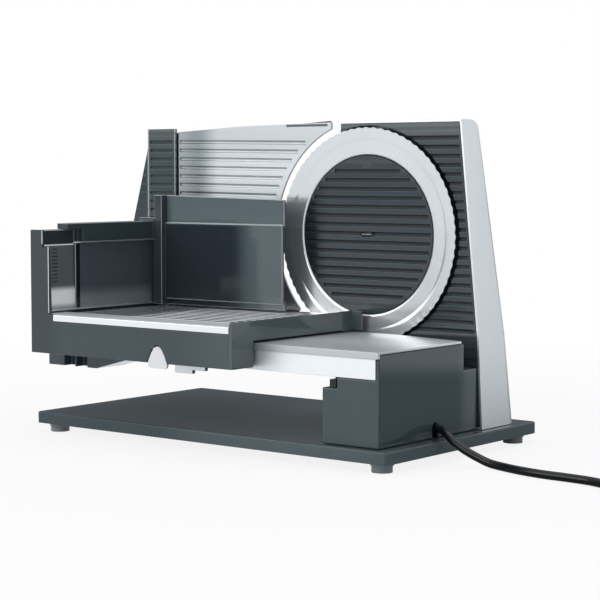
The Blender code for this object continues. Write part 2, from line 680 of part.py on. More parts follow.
def mesh_from(name, solids, carrier):
    bm = bmesh.new()
    for points, faces in solids:
        made = [bm.verts.new(point) for point in points]
        for face in faces:
            bm.faces.new([made[i] for i in face])
    bmesh.ops.recalc_face_normals(bm, faces=bm.faces)
    mesh = bpy.data.meshes.new(name)
    bm.to_mesh(mesh)
    bm.free()
    mesh.transform(Matrix.Translation(-anchor(carrier)))
    return mesh


def anchor(carrier):
    place = Vector((0, 0, 0))
    while carrier is not MACHINE:
        place += carrier.location
        carrier = carrier.parent
    return place


def piece(name, solid, finish, carrier=MACHINE):
    mesh = mesh_from(name, [solid], carrier)
    mesh.materials.append(finish)
    mesh.shade_smooth()
    mesh.set_sharp_from_angle(angle=SMOOTH_ANGLE)
    made = bpy.data.objects.new(name, mesh)
    bpy.context.scene.collection.objects.link(made)
    made.parent = carrier
    return made


def tool(target, solids, operation):
    name = f"{target.name}_{operation.lower()}_{len(target.modifiers) + 1}"
    made = bpy.data.objects.new(name, mesh_from(name, solids, target.parent))
    bpy.context.scene.collection.objects.link(made)
    made.parent = target.parent
    made.hide_render = True
    made.display_type = "WIRE"
    modifier = target.modifiers.new(name, "BOOLEAN")
    modifier.operation = operation
    modifier.object = made
    return made


def cut(target, *solids):
    return tool(target, solids, "DIFFERENCE")


def join(target, solid):
    return tool(target, [solid], "UNION")


# Base plate and feet

def base_plate():
    outline = rounded_box_outline((-PLATE_LENGTH / 2, -PLATE_DEPTH / 2), (PLATE_LENGTH / 2, PLATE_DEPTH / 2),
                                  PLATE_CORNER)
    levels = [(outline, -PLATE_THICKNESS), (outline, -PLATE_CHAMFER), (inset(outline, PLATE_CHAMFER), 0)]
    piece("base_plate", loft(levels, "z"), GLOSS_PLATE)


def feet():
    toe = TABLE + FOOT_TOE_HEIGHT
    profile = [(0, TABLE), (FOOT_TOE_RADIUS, TABLE), (FOOT_TOE_RADIUS, toe), (FOOT_RADIUS, toe),
               (FOOT_RADIUS, -PLATE_THICKNESS - GAP), (0, -PLATE_THICKNESS - GAP)]
    across = PLATE_LENGTH / 2 - FOOT_INSET
    along = PLATE_DEPTH / 2 - FOOT_INSET
    for end, y in (("front", -along), ("rear", along)):
        for side, x in (("left", -across), ("right", across)):
            piece(f"foot_{end}_{side}", turned(profile, "z", (x, y), SMALL_STEPS), RUBBER)


# Column under the rail

def column_housing():
    notch_floor = RAIL_UNDER - GAP_NOTCH_HEIGHT
    notch_front = TOWER_FRONT - GAP_NOTCH_DEPTH
    rear = TOWER_FRONT - GAP
    outline = [(COLUMN_FACE, GAP), (rear, GAP), (rear, notch_floor), (notch_front, notch_floor),
               (notch_front, BEAM_TOP), (BEAM_FRONT, BEAM_TOP), (BEAM_FRONT, SKIRT_BOTTOM - GAP),
               (COLUMN_FACE, SKIRT_BOTTOM - GAP)]
    column = piece("column_housing", prism(outline, "x", COLUMN_LEFT, RIGHT_FACE), ANTHRACITE)
    strip_left = RIGHT_FACE - SKIRT_SHORT + GAP
    join(column, box((strip_left, COLUMN_FACE, GAP), (RIGHT_FACE, BEAM_FRONT + COLUMN_WALL, LIP_BOTTOM - GAP)))
    wall = COLUMN_WALL
    hollow = [(BEAM_FRONT + wall, -OVERRUN), (rear - wall, -OVERRUN), (rear - wall, notch_floor - wall),
              (notch_front - wall, notch_floor - wall), (notch_front - wall, BEAM_TOP - wall),
              (BEAM_FRONT + wall, BEAM_TOP - wall)]
    cut(column, prism(hollow, "x", COLUMN_LEFT + wall, RIGHT_FACE - wall))
    pocket_right = COLUMN_LEFT + STEP_WIDTH
    pocket_back = COLUMN_FACE + STEP_DEPTH
    pocket_floor = SKIRT_BOTTOM - STEP_HEIGHT
    join(column, box((COLUMN_LEFT, COLUMN_FACE, pocket_floor - wall),
                     (pocket_right + wall, pocket_back + wall, SKIRT_BOTTOM - GAP)))
    join(column, box((COLUMN_LEFT, BEAM_FRONT, SKIRT_BOTTOM - 2 * GAP),
                     (pocket_right + wall, pocket_back + wall, SKIRT_BOTTOM + wall)))
    cut(column, box((COLUMN_LEFT - OVERRUN, COLUMN_FACE - OVERRUN, pocket_floor),
                    (pocket_right, pocket_back, SKIRT_BOTTOM)))
    half = CORD_RADIUS + CORD_SLOT_SIDE
    slot = [(CORD_EXIT_Y - half, -OVERRUN), (CORD_EXIT_Y + half, -OVERRUN)]
    slot += arc((CORD_EXIT_Y, CORD_EXIT_HEIGHT), half, 0, math.pi, 8)
    cut(column, prism(slot, "x", RIGHT_FACE - 2 * wall, RIGHT_FACE + OVERRUN))


def column_catch():
    left = COLUMN_LEFT + CATCH_OFFSET
    right = COLUMN_LEFT + STEP_WIDTH - CATCH_SIDE
    floor = SKIRT_BOTTOM - STEP_HEIGHT + GAP
    piece("column_catch", box((left, COLUMN_FACE, floor),
                              (right, COLUMN_FACE + CATCH_DEPTH, SKIRT_BOTTOM - CATCH_TOP_GAP)), BLACK, CATCH_SLIDE)


# Rail, the beam under it, its end block and its bracket

def rail():
    back = SKIRT_FACE + SKIRT_SHEET
    outline = [(LIP_FACE, LIP_BOTTOM), (SKIRT_FACE, LIP_BOTTOM), (SKIRT_FACE, SKIRT_BOTTOM), (back, SKIRT_BOTTOM),
               (back, RAIL_UNDER), (RAIL_REAR, RAIL_UNDER), (RAIL_REAR, RAIL_HEIGHT), (LIP_FACE, RAIL_HEIGHT)]
    plate = piece("rail", prism(outline, "x", RAIL_LEFT, RIGHT_FACE), SILVER)
    cut(plate, box((RIGHT_FACE - SKIRT_SHORT, SKIRT_FACE - OVERRUN, SKIRT_BOTTOM - OVERRUN),
                   (RIGHT_FACE + OVERRUN, back + OVERRUN, LIP_BOTTOM)))
    slope = RAIL_SLANT_DEPTH / RAIL_SLANT_LENGTH
    wedge = [(RIGHT_FACE - RAIL_SLANT_LENGTH, RAIL_REAR),
             (RIGHT_FACE + OVERRUN, RAIL_REAR - RAIL_SLANT_DEPTH - OVERRUN * slope),
             (RIGHT_FACE + OVERRUN, RAIL_REAR + OVERRUN),
             (RIGHT_FACE - RAIL_SLANT_LENGTH, RAIL_REAR + OVERRUN)]
    cut(plate, prism(wedge, "z", RAIL_UNDER - OVERRUN, RAIL_HEIGHT + OVERRUN))


def rail_beam():
    deck_right = RAIL_LEFT + DECK_LENGTH
    outline = [(RAIL_LEFT, BEAM_FRONT), (COLUMN_LEFT - GAP, BEAM_FRONT), (COLUMN_LEFT - GAP, RAIL_REAR - GAP),
               (deck_right, RAIL_REAR - GAP), (deck_right, FRAME_BACK), (RAIL_LEFT, FRAME_BACK)]
    piece("rail_beam", prism(outline, "z", BEAM_BOTTOM, BEAM_TOP), ANTHRACITE)


def rail_end_block():
    top = BEAM_BOTTOM - GAP
    level_end = RAIL_LEFT + BLOCK_LENGTH
    slope_end = level_end + BLOCK_SLOPE_LENGTH
    outline = [(RAIL_LEFT, BEAM_BOTTOM - BLOCK_DROP), (level_end, BEAM_BOTTOM - BLOCK_DROP),
               (slope_end, BEAM_BOTTOM - BLOCK_SLOPE_DROP), (slope_end, top), (RAIL_LEFT, top)]
    block = piece("rail_end_block", prism(outline, "y", BEAM_FRONT, BEAM_FRONT + BLOCK_DEPTH), ANTHRACITE)
    slots = []
    for i in range(2):
        start = RAIL_LEFT + BLOCK_SLOT_START + i * BLOCK_SLOT_PITCH
        slots.append(box((start, BEAM_FRONT - OVERRUN, BEAM_BOTTOM - BLOCK_DROP - OVERRUN),
                         (start + BLOCK_SLOT_WIDTH, BEAM_FRONT + BLOCK_SLOT_DEPTH, top + OVERRUN)))
    cut(block, *slots)


def rail_bracket():
    top = BEAM_BOTTOM - GAP
    low = BEAM_BOTTOM - BRACKET_DROP - BRACKET_EXTRA
    left = RAIL_LEFT + BRACKET_FROM_LEFT
    step = left + BRACKET_LOW_LENGTH
    right = left + BRACKET_LENGTH
    outline = [(left, low), (step, low), (step, low + BRACKET_RISE), (right, low + BRACKET_RISE), (right, top),
               (left, top)]
    piece("rail_bracket", prism(outline, "y", BEAM_FRONT, BEAM_FRONT + BRACKET_THICKNESS), SILVER)


# Tower

def tower_right(height, inward):
    foot = RIGHT_FACE + TOWER_PROUD_FOOT - inward
    if height <= TOWER_SHOULDER_HEIGHT:
        return foot - TOWER_SHOULDER_IN * height / TOWER_SHOULDER_HEIGHT
    share = (height - TOWER_SHOULDER_HEIGHT) / (TOWER_HEIGHT - TOWER_SHOULDER_HEIGHT)
    return foot - TOWER_SHOULDER_IN - (TOWER_TOP_IN - TOWER_SHOULDER_IN) * share


def tower_outline(inward, floor, crown_steps=0):
    left = TOWER_LEFT + inward
    top = TOWER_HEIGHT - inward
    radius = TOWER_BULGE - inward
    half = math.acos((BLADE_X - left) / radius)
    outline = [(left, floor), (tower_right(floor, inward), floor),
               (tower_right(TOWER_SHOULDER_HEIGHT, inward), TOWER_SHOULDER_HEIGHT)]
    crown = [top - TOWER_CROWN * (1 - math.sin(math.pi / 2 * i / crown_steps)) for i in range(crown_steps)] + [top]
    outline += [(tower_right(height, inward), height) for height in crown]
    outline += [(left, height) for height in reversed(crown)]
    return outline + arc((BLADE_X, BLADE_HEIGHT), radius, math.pi - half, math.pi + half, BULGE_STEPS)


def tower_body(inward, front, floor):
    """The tower's body, rounded round its rear edges, shallower towards the top and rounded off there."""
    back = TOWER_FRONT + TOWER_FOOT_DEPTH
    radius = TOWER_ROUND - inward
    levels = [(tower_outline(inward, floor, CROWN_STEPS), front)]
    for i in range(ROUNDING_STEPS + 1):
        angle = math.pi / 2 * i / ROUNDING_STEPS
        more = radius * (1 - math.cos(angle))
        outline = tower_outline(inward + more, floor, CROWN_STEPS)
        levels.append((outline, back - radius + radius * math.sin(angle)))
    points, faces = loft(levels, "y")
    taper = (1 - TOWER_TOP_DEPTH / TOWER_FOOT_DEPTH) / TOWER_HEIGHT
    shaped = []
    for x, y, z in points:
        if y > TOWER_FRONT:
            rise = min(max((z + inward - TOWER_HEIGHT) / TOWER_CROWN + 1, 0), 1)
            crown = 1 - tower_crown_share * (1 - math.sqrt(1 - rise ** 2))
            y = TOWER_FRONT + (y - TOWER_FRONT) * (1 - taper * z) * crown - inward
        shaped.append((x, y, z))
    return shaped, faces


def blade_recess(front):
    return cylinder(BLADE_RADIUS + RECESS_MARGIN, "y", (BLADE_X, 0, BLADE_HEIGHT), front, RECESS_FLOOR, BLADE_STEPS)


def tower_shell():
    shell = piece("tower_shell", tower_body(0, TOWER_FRONT, SHELL_FLOOR), SILVER)
    cut(shell, tower_body(SHELL_WALL, TOWER_FRONT - OVERRUN, SHELL_FLOOR + SHELL_WALL))
    cut(shell, blade_recess(TOWER_FRONT - OVERRUN))
    cut(shell, cylinder(BUTTON_RADIUS + BUTTON_SIDE_GAP, "y", (BUTTON_X, 0, BUTTON_Z), GEAR_MIDDLE,
                        TOWER_FRONT + TOWER_FOOT_DEPTH, SMALL_STEPS))


def tower_panel():
    edge = SHELL_WALL + GAP
    floor = SHELL_FLOOR + SHELL_WALL + GAP
    panel = piece("tower_panel", prism(tower_outline(edge, floor), "y", TOWER_FRONT, RECESS_BACK), ANTHRACITE)
    hollow = cut(panel, prism(tower_outline(edge + PANEL_WALL, floor - OVERRUN), "y",
                              TOWER_FRONT + PANEL_WALL, RECESS_BACK + OVERRUN))
    cup = BLADE_RADIUS + RECESS_MARGIN + PANEL_WALL
    cut(hollow, cylinder(cup, "y", (BLADE_X, 0, BLADE_HEIGHT), TOWER_FRONT, RECESS_BACK + 2 * OVERRUN, BLADE_STEPS))
    cut(panel, blade_recess(TOWER_FRONT - OVERRUN))
    cut(panel, cylinder(HUB_RADIUS + HUB_SIDE_GAP, "y", (BLADE_X, 0, BLADE_HEIGHT), TOWER_FRONT,
                        RECESS_BACK + OVERRUN))
    grooves = []
    for i in range(PANEL_GROOVES):
        height = TOWER_HEIGHT - PANEL_GROOVE_TOP - i * PANEL_GROOVE_PITCH
        end = tower_right(height, edge) - PANEL_GROOVE_END
        grooves.append(groove(TOWER_LEFT + edge + PANEL_GROOVE_END, end, height, TOWER_FRONT))
    cut(panel, *grooves)


# Gearbox plate with its posts and the worm's upper bearing

def gearbox_plate():
    left = BLADE_X - BOX_PLATE_LEFT
    right = WORM_X + BOX_PLATE_RIGHT
    low = BLADE_HEIGHT - BOX_PLATE_HALF_HEIGHT
    high = BLADE_HEIGHT + BOX_PLATE_HALF_HEIGHT
    plate = piece("gearbox_plate", box((left, BOX_PLATE_FRONT, low), (right, BOX_PLATE_BACK, high)), SILVER)
    for x in (left + BOX_POST_IN, right - BOX_POST_IN):
        for z in (low + BOX_POST_IN, high - BOX_POST_IN):
            join(plate, cylinder(BOX_POST_RADIUS, "y", (x, 0, z), RECESS_BACK + GAP, BOX_PLATE_BACK, SMALL_STEPS))
    join(plate, box((WORM_X - BLOCK_HALF_WIDTH, GEAR_MIDDLE - BLOCK_HALF_WIDTH, BEARING_BOTTOM),
                    (WORM_X + BLOCK_HALF_WIDTH, BOX_PLATE_BACK, BEARING_TOP)))
    reach = WORM_RADIUS + TOOTH_ADDENDUM + WORM_WINDOW_SIDE
    cut(plate, box((WORM_X - reach, RECESS_BACK, BLADE_HEIGHT - WORM_HALF - WORM_LEAD - WORM_WINDOW_SIDE),
                   (WORM_X + reach, BOX_PLATE_BACK + OVERRUN, BEARING_BOTTOM)))
    cut(plate, cylinder(BEARING_RADIUS + GAP, "z", (WORM_X, GEAR_MIDDLE), BEARING_BOTTOM - OVERRUN,
                        BEARING_TOP + OVERRUN, SMALL_STEPS))
    cut(plate, cylinder(AXLE_RADIUS + GAP, "y", (BLADE_X, 0, BLADE_HEIGHT), RECESS_BACK, BOX_PLATE_BACK + OVERRUN,
                        SMALL_STEPS))


def upper_bearing():
    piece("upper_bearing", tube(SHAFT_RADIUS + GAP, BEARING_RADIUS, "z", (WORM_X, GEAR_MIDDLE), BEARING_BOTTOM,
                                BEARING_TOP, SMALL_STEPS), BRASS)


# Motor

def motor_can():
    centre = (WORM_X, GEAR_MIDDLE)
    inner = MOTOR_RADIUS - MOTOR_WALL
    profile = [(0, MOTOR_BOTTOM), (MOTOR_RADIUS, MOTOR_BOTTOM), (MOTOR_RADIUS, MOTOR_TOP), (inner, MOTOR_TOP),
               (inner, MOTOR_BOTTOM + MOTOR_WALL), (BELL_BOSS_RADIUS, MOTOR_BOTTOM + MOTOR_WALL),
               (BELL_BOSS_RADIUS, MOTOR_BOTTOM + MOTOR_WALL + BELL_BOSS_LENGTH),
               (SHAFT_RADIUS + GAP, MOTOR_BOTTOM + MOTOR_WALL + BELL_BOSS_LENGTH),
               (SHAFT_RADIUS + GAP, MOTOR_BOTTOM + MOTOR_WALL), (0, MOTOR_BOTTOM + MOTOR_WALL)]
    piece("motor_can", turned(profile, "z", centre, ROUND_STEPS), STEEL)


def motor_bell():
    centre = (WORM_X, GEAR_MIDDLE)
    seat = MOTOR_TOP + GAP
    profile = [(SHAFT_RADIUS + GAP, seat), (MOTOR_RADIUS, seat), (MOTOR_RADIUS, seat + BELL_THICKNESS),
               (BELL_BOSS_RADIUS, seat + BELL_THICKNESS),
               (BELL_BOSS_RADIUS, seat + BELL_THICKNESS + BELL_BOSS_LENGTH),
               (SHAFT_RADIUS + GAP, seat + BELL_THICKNESS + BELL_BOSS_LENGTH)]
    piece("motor_bell", turned(profile, "z", centre, ROUND_STEPS, closed=True), BLACK)


def motor_magnets():
    centre = (WORM_X, GEAR_MIDDLE)
    outer = MOTOR_RADIUS - MOTOR_WALL - GAP
    inner = ROTOR_RADIUS + MAGNET_GAP
    bottom = ROTOR_BOTTOM
    for side, middle in (("right", 0.0), ("left", math.pi)):
        start = middle - MAGNET_HALF_ANGLE
        end = middle + MAGNET_HALF_ANGLE
        outline = arc(centre, outer, start, end, 10) + arc(centre, inner, end, start, 10)
        piece(f"motor_magnet_{side}", prism(outline, "z", bottom, bottom + ROTOR_LENGTH), MAGNET)


def motor_rotor():
    bottom = ROTOR_BOTTOM
    top = bottom + ROTOR_LENGTH
    end = top + MOTOR_LENGTH * commutator_length_share
    bore = SHAFT_RADIUS + GAP
    profile = [(bore, bottom), (ROTOR_RADIUS, bottom), (ROTOR_RADIUS, top), (COMMUTATOR_RADIUS, top),
               (COMMUTATOR_RADIUS, end), (bore, end)]
    piece("motor_rotor", turned(profile, "z", (WORM_X, GEAR_MIDDLE), ROUND_STEPS, closed=True), BRASS, MOTOR_AXIS)


# Worm, cut on the motor's shaft

def thread_shares():
    """Where a thread's root and tip begin and end in one lead, as shares of the lead."""
    half = (WORM_LEAD - GEAR_BACKLASH) / 4
    slope = math.tan(TOOTH_FLANK)
    tip_half = half - TOOTH_ADDENDUM * slope
    root_half = half + TOOTH_DEDENDUM * slope
    return [(root_half / WORM_LEAD, -TOOTH_DEDENDUM), (1 - root_half / WORM_LEAD, -TOOTH_DEDENDUM),
            (1 - tip_half / WORM_LEAD, TOOTH_ADDENDUM), (1 + tip_half / WORM_LEAD, TOOTH_ADDENDUM)]


def worm_thread():
    """A helical thread: columns of points round the shaft, each column raised by its share of the lead."""
    rows = []
    for turn in range(WORM_TURNS):
        rows += [(turn + share, offset) for share, offset in thread_shares()]
    per_turn = len(thread_shares())
    start = BLADE_HEIGHT - WORM_HALF - WORM_LEAD / 2
    points = []
    for column in range(WORM_SEGMENTS):
        angle = 2 * math.pi * column / WORM_SEGMENTS
        for share, offset in rows:
            radius = WORM_RADIUS + offset
            height = start + WORM_LEAD * (share + column / WORM_SEGMENTS)
            points.append((WORM_X + radius * math.cos(angle), GEAR_MIDDLE + radius * math.sin(angle), height))
    count = len(rows)
    faces = []
    for column in range(WORM_SEGMENTS - 1):
        for row in range(count - 1):
            here = column * count + row
            faces.append((here, here + count, here + count + 1, here + 1))
    last = (WORM_SEGMENTS - 1) * count
    for row in range(count - 1 - per_turn):
        faces.append((last + row, row + per_turn, row + per_turn + 1, last + row + 1))
    low_loop = [column * count for column in range(WORM_SEGMENTS)] + list(range(per_turn, 0, -1))
    top_column = [last + row for row in range(count - 1, count - 2 - per_turn, -1)]
    high_loop = [column * count + count - 1 for column in range(WORM_SEGMENTS - 1)] + top_column
    for loop in (low_loop, high_loop):
        heights = [points[corner][2] for corner in loop]
        centre = len(points)
        points.append((WORM_X, GEAR_MIDDLE, (min(heights) + max(heights)) / 2))
        for i, corner in enumerate(loop):
            faces.append((centre, corner, loop[(i + 1) % len(loop)]))
    return points, faces


def worm_shaft():
    shaft = piece("worm_shaft", cylinder(SHAFT_RADIUS, "z", (WORM_X, GEAR_MIDDLE), MOTOR_BOTTOM + MOTOR_WALL + GAP,
                                         BEARING_TOP + SHAFT_ABOVE_BEARING, WORM_SEGMENTS), STEEL, MOTOR_AXIS)
    join(shaft, worm_thread())


# Blade with its gear, axle, bush, screws, cover and lock

def blade():
    ring = BLADE_RADIUS - BEVEL_WIDTH
    front_edge = BLADE_PLANE
    profile = [(WEB_BORE, WEB_FRONT), (DISH_RADIUS - DISH_FILLET, WEB_FRONT), (DISH_RADIUS, WEB_FRONT - DISH_FILLET),
               (DISH_RADIUS, front_edge + RING_DROP), (DISH_RADIUS + RING_DROP, front_edge + BEVEL_DROP),
               (ring, front_edge + BEVEL_DROP), (BLADE_RADIUS, front_edge), (BLADE_RADIUS, front_edge + BLADE_EDGE),
               (ring, front_edge + BEVEL_DROP + BLADE_SHEET),
               (DISH_RADIUS + BLADE_SHEET, front_edge + BEVEL_DROP + BLADE_SHEET),
               (DISH_RADIUS + BLADE_SHEET, WEB_BACK - DISH_FILLET), (DISH_RADIUS - DISH_FILLET, WEB_BACK),
               (WEB_BORE, WEB_BACK)]
    disc = piece("blade", turned(profile, "y", (BLADE_X, 0, BLADE_HEIGHT), BLADE_STEPS, closed=True), STEEL,
                 BLADE_AXIS)
    cut(disc, *[cylinder(SCREW_RADIUS + GAP, "y", place, WEB_FRONT - OVERRUN, WEB_BACK + OVERRUN, SMALL_STEPS)
                for place in screw_places()])


def screw_places():
    places = []
    for i in range(SCREW_COUNT):
        angle = math.pi / 2 + 2 * math.pi * i / SCREW_COUNT
        places.append((BLADE_X + SCREW_CIRCLE * math.cos(angle), 0, BLADE_HEIGHT + SCREW_CIRCLE * math.sin(angle)))
    return places


def blade_screws():
    for i, place in enumerate(screw_places()):
        seat = WEB_FRONT - GAP
        profile = [(0, seat - SCREW_HEAD_HEIGHT), (SCREW_HEAD_RADIUS, seat - SCREW_HEAD_HEIGHT),
                   (SCREW_HEAD_RADIUS, seat), (SCREW_RADIUS, seat), (SCREW_RADIUS, HUB_FACE + SCREW_REACH),
                   (0, HUB_FACE + SCREW_REACH)]
        piece(f"blade_screw_{i + 1}", turned(profile, "y", place, SMALL_STEPS), STEEL, BLADE_AXIS)


def gear_outline(turn):
    pitch = 2 * math.pi / GEAR_TEETH
    half = (WORM_LEAD - GEAR_BACKLASH) / 4
    slope = math.tan(TOOTH_FLANK)
    root = GEAR_PITCH_RADIUS - TOOTH_DEDENDUM
    tip = GEAR_PITCH_RADIUS + TOOTH_ADDENDUM
    root_angle = (half + TOOTH_DEDENDUM * slope) / GEAR_PITCH_RADIUS
    tip_angle = (half - TOOTH_ADDENDUM * slope) / GEAR_PITCH_RADIUS
    outline = []
    for tooth in range(GEAR_TEETH):
        middle = pitch * (tooth + 1 / 2) + turn
        for radius, angle in ((root, -root_angle), (tip, -tip_angle), (tip, tip_angle), (root, root_angle)):
            outline.append((BLADE_X + radius * math.cos(middle + angle),
                            BLADE_HEIGHT + radius * math.sin(middle + angle)))
    return outline


def worm_gear():
    twist = WORM_LEAD / (2 * math.pi * WORM_RADIUS) * (GEAR_WIDTH / 2) / GEAR_PITCH_RADIUS
    levels = [(gear_outline(twist), GEAR_FRONT), (gear_outline(-twist), GEAR_BACK)]
    gear = piece("worm_gear", loft(levels, "y"), GEAR_PLASTIC, BLADE_AXIS)
    centre = (BLADE_X, 0, BLADE_HEIGHT)
    hub = [(0, HUB_FACE), (HUB_FLANGE_RADIUS, HUB_FACE), (HUB_FLANGE_RADIUS, HUB_FACE + HUB_FLANGE),
           (HUB_RADIUS, HUB_FACE + HUB_FLANGE), (HUB_RADIUS, HUB_BACK), (0, HUB_BACK)]
    join(gear, turned(hub, "y", centre, ROUND_STEPS))
    cut(gear, cylinder(BUSH_RADIUS + GAP, "y", centre, HUB_FACE - OVERRUN, HUB_BACK + OVERRUN, SMALL_STEPS))
    cut(gear, cylinder(AXLE_HEAD_RADIUS + GAP, "y", centre, HUB_FACE - OVERRUN, HUB_SEAT, ROUND_STEPS))
    cut(gear, *[cylinder(SCREW_RADIUS + GAP, "y", place, HUB_FACE - OVERRUN, HUB_FACE + HUB_FLANGE - GAP,
                         SMALL_STEPS) for place in screw_places()])


def blade_bush():
    piece("blade_bush", tube(AXLE_RADIUS + GAP, BUSH_RADIUS, "y", (BLADE_X, 0, BLADE_HEIGHT), HUB_SEAT, HUB_BACK,
                             SMALL_STEPS), BRASS, BLADE_AXIS)


def blade_axle():
    profile = [(0, AXLE_HEAD_FACE), (AXLE_HEAD_RADIUS, AXLE_HEAD_FACE), (AXLE_HEAD_RADIUS, AXLE_HEAD_BACK),
               (AXLE_RADIUS, AXLE_HEAD_BACK), (AXLE_RADIUS, BOX_PLATE_BACK), (0, BOX_PLATE_BACK)]
    piece("blade_axle", turned(profile, "y", (BLADE_X, 0, BLADE_HEIGHT), SMALL_STEPS), STEEL)


def lens_outline(half_length, half_height):
    """A lens between two equal arcs, in X and Z, about the blade's axis."""
    radius = (half_length ** 2 + half_height ** 2) / (2 * half_height)
    span = math.asin(half_length / radius)
    low = arc((BLADE_X, BLADE_HEIGHT + radius - half_height), radius, -math.pi / 2 - span, -math.pi / 2 + span,
              LENS_STEPS)
    high = arc((BLADE_X, BLADE_HEIGHT - radius + half_height), radius, math.pi / 2 - span, math.pi / 2 + span,
               LENS_STEPS)
    return low[:-1] + high[:-1]


def blade_cover():
    sleeve = WEB_BORE - GAP
    profile = [(0, COVER_FACE), (COVER_RADIUS, COVER_FACE), (COVER_RADIUS, COVER_BACK), (sleeve, COVER_BACK),
               (sleeve, HUB_FACE - GAP), (sleeve - SLEEVE_WALL, HUB_FACE - GAP), (sleeve - SLEEVE_WALL, COVER_BACK),
               (0, COVER_BACK)]
    cover = piece("blade_cover", turned(profile, "y", (BLADE_X, 0, BLADE_HEIGHT), BLADE_STEPS), ANTHRACITE, BLADE_AXIS)
    grooves = []
    reach = COVER_RADIUS - COVER_MARGIN
    for i in range(COVER_GROOVES):
        offset = COVER_GROOVE_SHIFT + (i - (COVER_GROOVES - 1) / 2) * GROOVE_PITCH
        half = math.sqrt(reach ** 2 - (abs(offset) + GROOVE_WIDTH / 2) ** 2)
        grooves.append(groove(BLADE_X - half, BLADE_X + half, BLADE_HEIGHT + offset, COVER_FACE))
    cut(cover, *grooves)
    cut(cover, prism(lens_outline(LOCK_SLOT_LENGTH / 2, LOCK_SLOT_HEIGHT / 2), "y", COVER_FACE - OVERRUN,
                     COVER_BACK + OVERRUN))


def cover_lock():
    half_length = LOCK_SLOT_LENGTH / 2 - LOCK_SIDE_GAP
    half_height = LOCK_SLOT_HEIGHT / 2 - LOCK_SIDE_GAP
    piece("cover_lock", prism(lens_outline(half_length, half_height), "y", COVER_FACE,
                              COVER_FACE + LOCK_THICKNESS), BLACK, LOCK_AXIS)


# Button and its switch

def shell_rear(height):
    return TOWER_FRONT + TOWER_FOOT_DEPTH - (TOWER_FOOT_DEPTH - TOWER_TOP_DEPTH) * height / TOWER_HEIGHT


def switch_button():
    end = shell_rear(BUTTON_Z) + BUTTON_PROUD
    piece("switch_button", cylinder(BUTTON_RADIUS, "y", (BUTTON_X, 0, BUTTON_Z), end - BUTTON_LENGTH, end,
                                    SMALL_STEPS), BLACK, BUTTON_SLIDE)


def switch_body():
    back = shell_rear(BUTTON_Z) + BUTTON_PROUD - BUTTON_LENGTH - BUTTON_TRAVEL - GAP
    piece("switch_body", box((BUTTON_X - SWITCH_HALF_WIDTH, RECESS_BACK + GAP, BUTTON_Z - SWITCH_HALF_HEIGHT),
                             (BUTTON_X + SWITCH_HALF_WIDTH, back, BUTTON_Z + SWITCH_HALF_HEIGHT)), BLACK)


# Stop plate, its carrier, and the frame with rods, spindle and knob

def stop_arc(radius, top, corner):
    """The edge round the blade, from its top end down to the low corner, in X and Z."""
    start = math.pi - math.asin((top - BLADE_HEIGHT) / radius)
    end = math.pi + math.asin((BLADE_HEIGHT - corner) / radius)
    return arc((BLADE_X, BLADE_HEIGHT), radius, start, end, STOP_ARC_STEPS)


def stop_outline(radius, bottom, rise):
    end_x = BLADE_X - STOP_END_FROM_BLADE - (radius - STOP_RADIUS)
    arc_top = BLADE_HEIGHT + math.sqrt(radius ** 2 - (BLADE_X - end_x) ** 2)
    edge = stop_arc(radius, arc_top, STOP_CORNER_HEIGHT)
    corner_x = edge[-1][0] - STOP_CORNER_CUT
    left = STOP_LEFT - CARRIER_BESIDE * (rise > 0)
    outline = [(left, bottom), (left, STOP_LEFT_TOP - GAP * (rise > 0)),
               (STOP_LEFT + STOP_MIDDLE_IN, STOP_MIDDLE_TOP - GAP * (rise > 0))]
    if rise > 0:
        outline.append((end_x - CARRIER_CREST_LENGTH, STOP_RIGHT_TOP - CARRIER_CREST))
    outline.append((end_x, STOP_RIGHT_TOP + rise))
    return outline + edge + [(corner_x, bottom)]


def stop_plate():
    plate = piece("stop_plate", prism(stop_outline(STOP_RADIUS, STOP_BOTTOM, 0), "y", BLADE_PLANE,
                                      BLADE_PLANE + STOP_SHEET), SILVER, STOP_SLIDE)
    grooves = []
    fall = math.tan(STOP_GROOVE_TILT)
    start = STOP_LEFT + STOP_GROOVE_MARGIN
    reach = STOP_RADIUS + STOP_GROOVE_END
    for i in range(STOP_GROOVES):
        height = STOP_GROOVE_TOP - i * STOP_GROOVE_PITCH
        end = BLADE_X - math.sqrt(max(reach ** 2 - (height - BLADE_HEIGHT) ** 2, 0))
        grooves.append(groove(start, end, height, BLADE_PLANE, fall))
    cut(plate, *grooves)


def stop_carrier():
    bottom = FRAME_BOTTOM + FRAME_WALL + GAP
    carrier = piece("stop_carrier", prism(stop_outline(STOP_RADIUS + CARRIER_ARC_BACK, bottom, CARRIER_CREST), "y",
                                          CARRIER_FRONT, CARRIER_BACK), BLACK, STOP_SLIDE)
    arm_front = max(CARRIER_FRONT, BLADE_PLANE + FRAME_WALL + 2 * GAP)
    for height in (ROD_LOW, KNOB_HEIGHT, ROD_HIGH):
        join(carrier, box((STOP_LEFT + ARM_OVERLAP - ARM_LENGTH, arm_front, height - ARM_HALF_HEIGHT),
                          (STOP_LEFT + ARM_OVERLAP, arm_front + ARM_DEPTH, height + ARM_HALF_HEIGHT)))
    cut(carrier, *[cylinder(ROD_RADIUS + GAP, "y", (ROD_X, 0, height), arm_front - OVERRUN,
                            arm_front + ARM_DEPTH + OVERRUN, SMALL_STEPS)
                   for height in (ROD_LOW, KNOB_HEIGHT, ROD_HIGH)])


